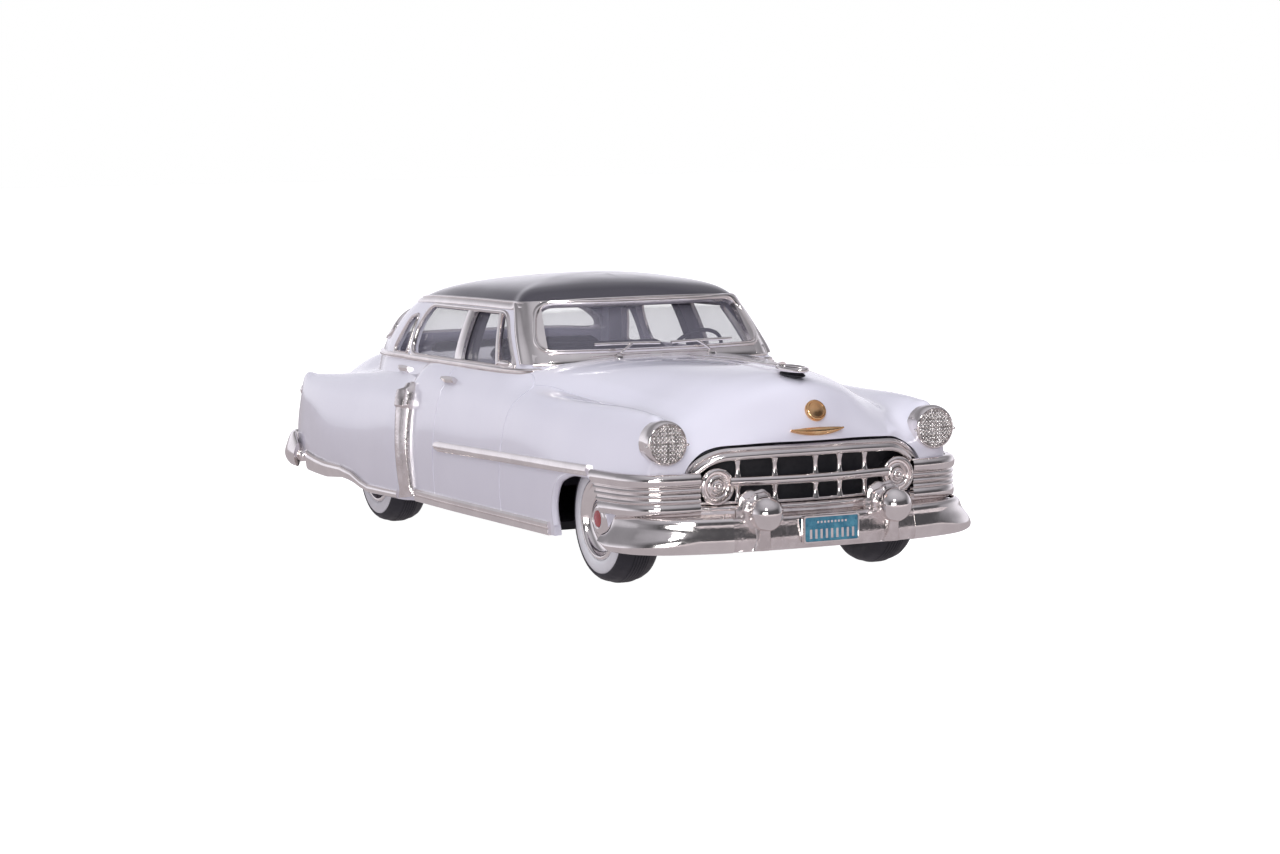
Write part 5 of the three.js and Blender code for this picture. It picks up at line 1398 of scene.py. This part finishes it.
# ---------- rolling gear ----------
def wheel(place, side, sign):
    body = f"{place}_wheels"
    low, high = node_box(f"{place}_tyre_{side}")
    radius = (high[2] - low[2]) / 2
    centre = np.array([sign * max(abs(low[0]), abs(high[0])) + sign * 0.1, (low[1] + high[1]) / 2, (low[2] + high[2]) / 2])
    width = abs(high[0] - low[0])
    axis = (sign, 0, 0)
    tread = []
    ribs = 6
    for i in range(ribs * 4 + 1):
        t = i / (ribs * 4)
        dip = 0.10 if i % 4 == 2 else 0.0
        tread.append((radius - 0.16 * (2 * t - 1) ** 4 - dip, -width + 1.5 + (width - 3.2) * t))
    profile = [(4.9, -width + 0.45), (5.6, -width + 0.15), (6.7, -width), (7.3, -width + 0.35), (7.6, -width + 0.9), *tread,
               (7.62, -1.15), (7.45, -0.7), (7.2, -0.38), (7.0, -0.2), (6.85, -0.12), (6.7, -0.14), (6.64, -0.3),
               (5.0, -0.35)]
    piece(f"{place}_{side}_tyre_carcass", lathe(profile, axis, centre, 96), "tyre", [f"{place}_tyre_{side}"],
          body, 40)
    band = [(6.66, -0.34), (6.64, -0.2), (6.55, -0.12), (6.2, -0.03), (5.8, 0.0), (5.4, -0.04), (5.1, -0.14), (4.95, -0.4)]
    piece(f"{place}_{side}_whitewall_band", lathe(band, axis, centre, 96), "whitewall",
          [f"{place}_whitewall_{side}"], body, 50)
    disc = [(4.98, -0.6), (4.98, -0.2), (4.88, -0.06), (4.7, -0.02), (4.5, -0.1), (4.38, -0.4), (4.25, -0.8), (3.9, -1.05),
            (3.4, -1.15), (2.95, -1.05), (2.7, -0.85), (2.55, -0.55), (2.4, -0.4), (2.15, -0.42), (1.95, -0.38),
            (1.75, -0.2), (1.55, -0.08), (1.3, -0.02), (1.12, -0.02), (1.05, -0.1)]
    piece(f"{place}_{side}_disc_face", lathe(disc + [(0, -0.1)], axis, centre, 72), "plated",
          [f"{place}_wheel_disc_{side}"], body, 50)
    boss = [(1.04, -0.12), (1.0, -0.03), (0.7, 0.0), (0.3, 0.03), (0, 0.04)]
    piece(f"{place}_{side}_disc_centre", lathe(boss, axis, centre - np.array(axis) * 0.04, 40), "red", [], body)


for place in ("front", "rear"):
    for side, sign in SIDES.items():
        wheel(place, side, sign)

CARRIED = {"baseplate": "base", "base_screw_front": "steel", "base_screw_rear": "steel", "front_axle": "steel",
           "rear_axle": "steel", "interior_tub": "interior"}
for node, look in CARRIED.items():
    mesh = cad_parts[node].data
    mesh.materials.clear()
    mesh.materials.append(MATERIALS[look])


# ---------- stage ----------
def stage_and_lights():
    reach = 4.0
    mesh = bpy.data.meshes.new("floor")
    mesh.from_pydata([(-reach, -reach, 0), (reach, -reach, 0), (reach, reach, 0), (-reach, reach, 0)], [], [(0, 1, 2, 3)])
    floor = bpy.data.objects.new("floor", mesh)
    bpy.context.scene.collection.objects.link(floor)
    made, tree, shader = node_material("pale_floor")
    tree.links.new(ramp(tree, noise(tree, 20), (0.42, 0.42, 0.43), (0.44, 0.44, 0.45)), shader.inputs["Base Color"])
    shader.inputs["Roughness"].default_value = 0.7
    shader.inputs["Specular IOR Level"].default_value = 0.1
    where = tree.nodes.new("ShaderNodeTexCoord")
    ground = tree.nodes.new("ShaderNodeSeparateXYZ")
    tree.links.new(where.outputs["Object"], ground.inputs["Vector"])
    shader.inputs["Emission Color"].default_value = (1, 1, 1, 1)
    shader.inputs["Emission Strength"].default_value = 1.0
    bounce = tree.nodes.new("ShaderNodeEmission")
    ahead = tree.nodes.new("ShaderNodeMapRange")
    ahead.inputs["From Min"].default_value = -0.22
    ahead.inputs["From Max"].default_value = -0.10
    tree.links.new(ground.outputs["Y"], ahead.inputs["Value"])
    tree.links.new(ramp(tree, ahead.outputs["Result"], (0.95, 0.86, 0.89), (0.47, 0.43, 0.455), 0.0, 1.0),
                   bounce.inputs["Color"])
    eye = tree.nodes.new("ShaderNodeLightPath")
    choice = tree.nodes.new("ShaderNodeMixShader")
    tree.links.new(eye.outputs["Is Camera Ray"], choice.inputs["Fac"])
    tree.links.new(bounce.outputs["Emission"], choice.inputs[1])
    tree.links.new(shader.outputs["BSDF"], choice.inputs[2])
    tree.links.new(choice.outputs["Shader"], tree.nodes["Material Output"].inputs["Surface"])
    mesh.materials.append(made)

    def softbox(name, place, target, size, watts, in_gloss=True):
        data = bpy.data.lights.new(name, "AREA")
        data.shape = "RECTANGLE"
        data.size, data.size_y = size
        data.energy = watts
        lamp = bpy.data.objects.new(name, data)
        lamp.location = place
        lamp.rotation_euler = (Vector(target) - Vector(place)).to_track_quat("-Z", "Y").to_euler()
        lamp.visible_glossy = in_gloss
        bpy.context.scene.collection.objects.link(lamp)
    softbox("overhead", (0.0, 0.1, 0.95), (0, 0, 0), (1.5, 1.5), 9.0, in_gloss=False)
    softbox("front_left", (-0.35, -0.75, 0.55), (0, -0.03, 0.02), (0.16, 0.11), 1.3)
    softbox("low_left", (-0.55, -0.85, 0.16), (0, -0.03, 0.01), (0.5, 0.22), 2.4)

    world = bpy.data.worlds.new("studio")
    bpy.context.scene.world = world
    world.use_nodes = True
    tree = world.node_tree
    tree.nodes.clear()
    where = tree.nodes.new("ShaderNodeTexCoord")
    split = tree.nodes.new("ShaderNodeSeparateXYZ")
    tree.links.new(where.outputs["Generated"], split.inputs["Vector"])
    height = tree.nodes.new("ShaderNodeMapRange")
    height.inputs["From Min"].default_value = -1
    height.inputs["From Max"].default_value = 1
    tree.links.new(split.outputs["Z"], height.inputs["Value"])

    def bands(stops):
        made = tree.nodes.new("ShaderNodeValToRGB")
        elements = made.color_ramp.elements
        while len(elements) < len(stops):
            elements.new(0.5)
        for element, (position, level) in zip(elements, stops):
            element.position = position
            element.color = (level * 0.98, level * 0.96, level * 1.04, 1)
        tree.links.new(height.outputs["Result"], made.inputs["Fac"])
        return made.outputs["Color"]
    before = bands([(0.0, 0.35), (0.49, 0.35), (0.51, 0.08), (0.68, 0.09), (0.80, 0.4), (1.0, 0.6)])
    behind = bands([(0.0, 0.35), (0.49, 0.5), (0.51, 1.0), (0.58, 0.9), (0.72, 0.3), (0.86, 0.25), (1.0, 0.55)])
    facing = tree.nodes.new("ShaderNodeMapRange")
    facing.inputs["From Min"].default_value = -0.45
    facing.inputs["From Max"].default_value = 0.35
    tree.links.new(split.outputs["Y"], facing.inputs["Value"])
    room = tree.nodes.new("ShaderNodeMix")
    room.data_type = "RGBA"
    tree.links.new(facing.outputs["Result"], room.inputs["Factor"])
    tree.links.new(before, room.inputs["A"])
    tree.links.new(behind, room.inputs["B"])
    studio = tree.nodes.new("ShaderNodeBackground")
    studio.inputs["Strength"].default_value = 1.0
    tree.links.new(room.outputs["Result"], studio.inputs["Color"])
    backdrop = tree.nodes.new("ShaderNodeBackground")
    backdrop.inputs["Color"].default_value = (1, 1, 1, 1)
    seen = tree.nodes.new("ShaderNodeLightPath")
    mix = tree.nodes.new("ShaderNodeMixShader")
    out = tree.nodes.new("ShaderNodeOutputWorld")
    tree.links.new(seen.outputs["Is Camera Ray"], mix.inputs["Fac"])
    tree.links.new(studio.outputs["Background"], mix.inputs[1])
    tree.links.new(backdrop.outputs["Background"], mix.inputs[2])
    tree.links.new(mix.outputs["Shader"], out.inputs["Surface"])


def camera():
    azimuth, elevation, roll = (math.radians(a) for a in (-25.535, 5.110, -0.976))
    back = np.array([math.sin(azimuth) * math.cos(elevation), -math.cos(azimuth) * math.cos(elevation), math.sin(elevation)])
    right = unit(np.cross([0, 0, 1], back))
    up = np.cross(back, right)
    c, s = math.cos(roll), math.sin(roll)
    right, up = c * right + s * up, -s * right + c * up
    pivot = np.array([0, 0, 15.0])
    distance, shift_right, shift_up = 432.137, 5.677, -0.282
    place = (pivot + right * shift_right + up * shift_up + back * distance) * MM
    data = bpy.data.cameras.new("camera")
    data.sensor_width = 36
    data.lens = 90.124
    data.clip_start, data.clip_end = 0.01, 50
    made = bpy.data.objects.new("camera", data)
    bpy.context.scene.collection.objects.link(made)
    made.matrix_world = Matrix(((right[0], up[0], back[0], place[0]), (right[1], up[1], back[1], place[1]),
                                (right[2], up[2], back[2], place[2]), (0, 0, 0, 1)))
    bpy.context.scene.camera = made


stage_and_lights()
camera()
bpy.context.scene.view_settings.view_transform = "Standard"
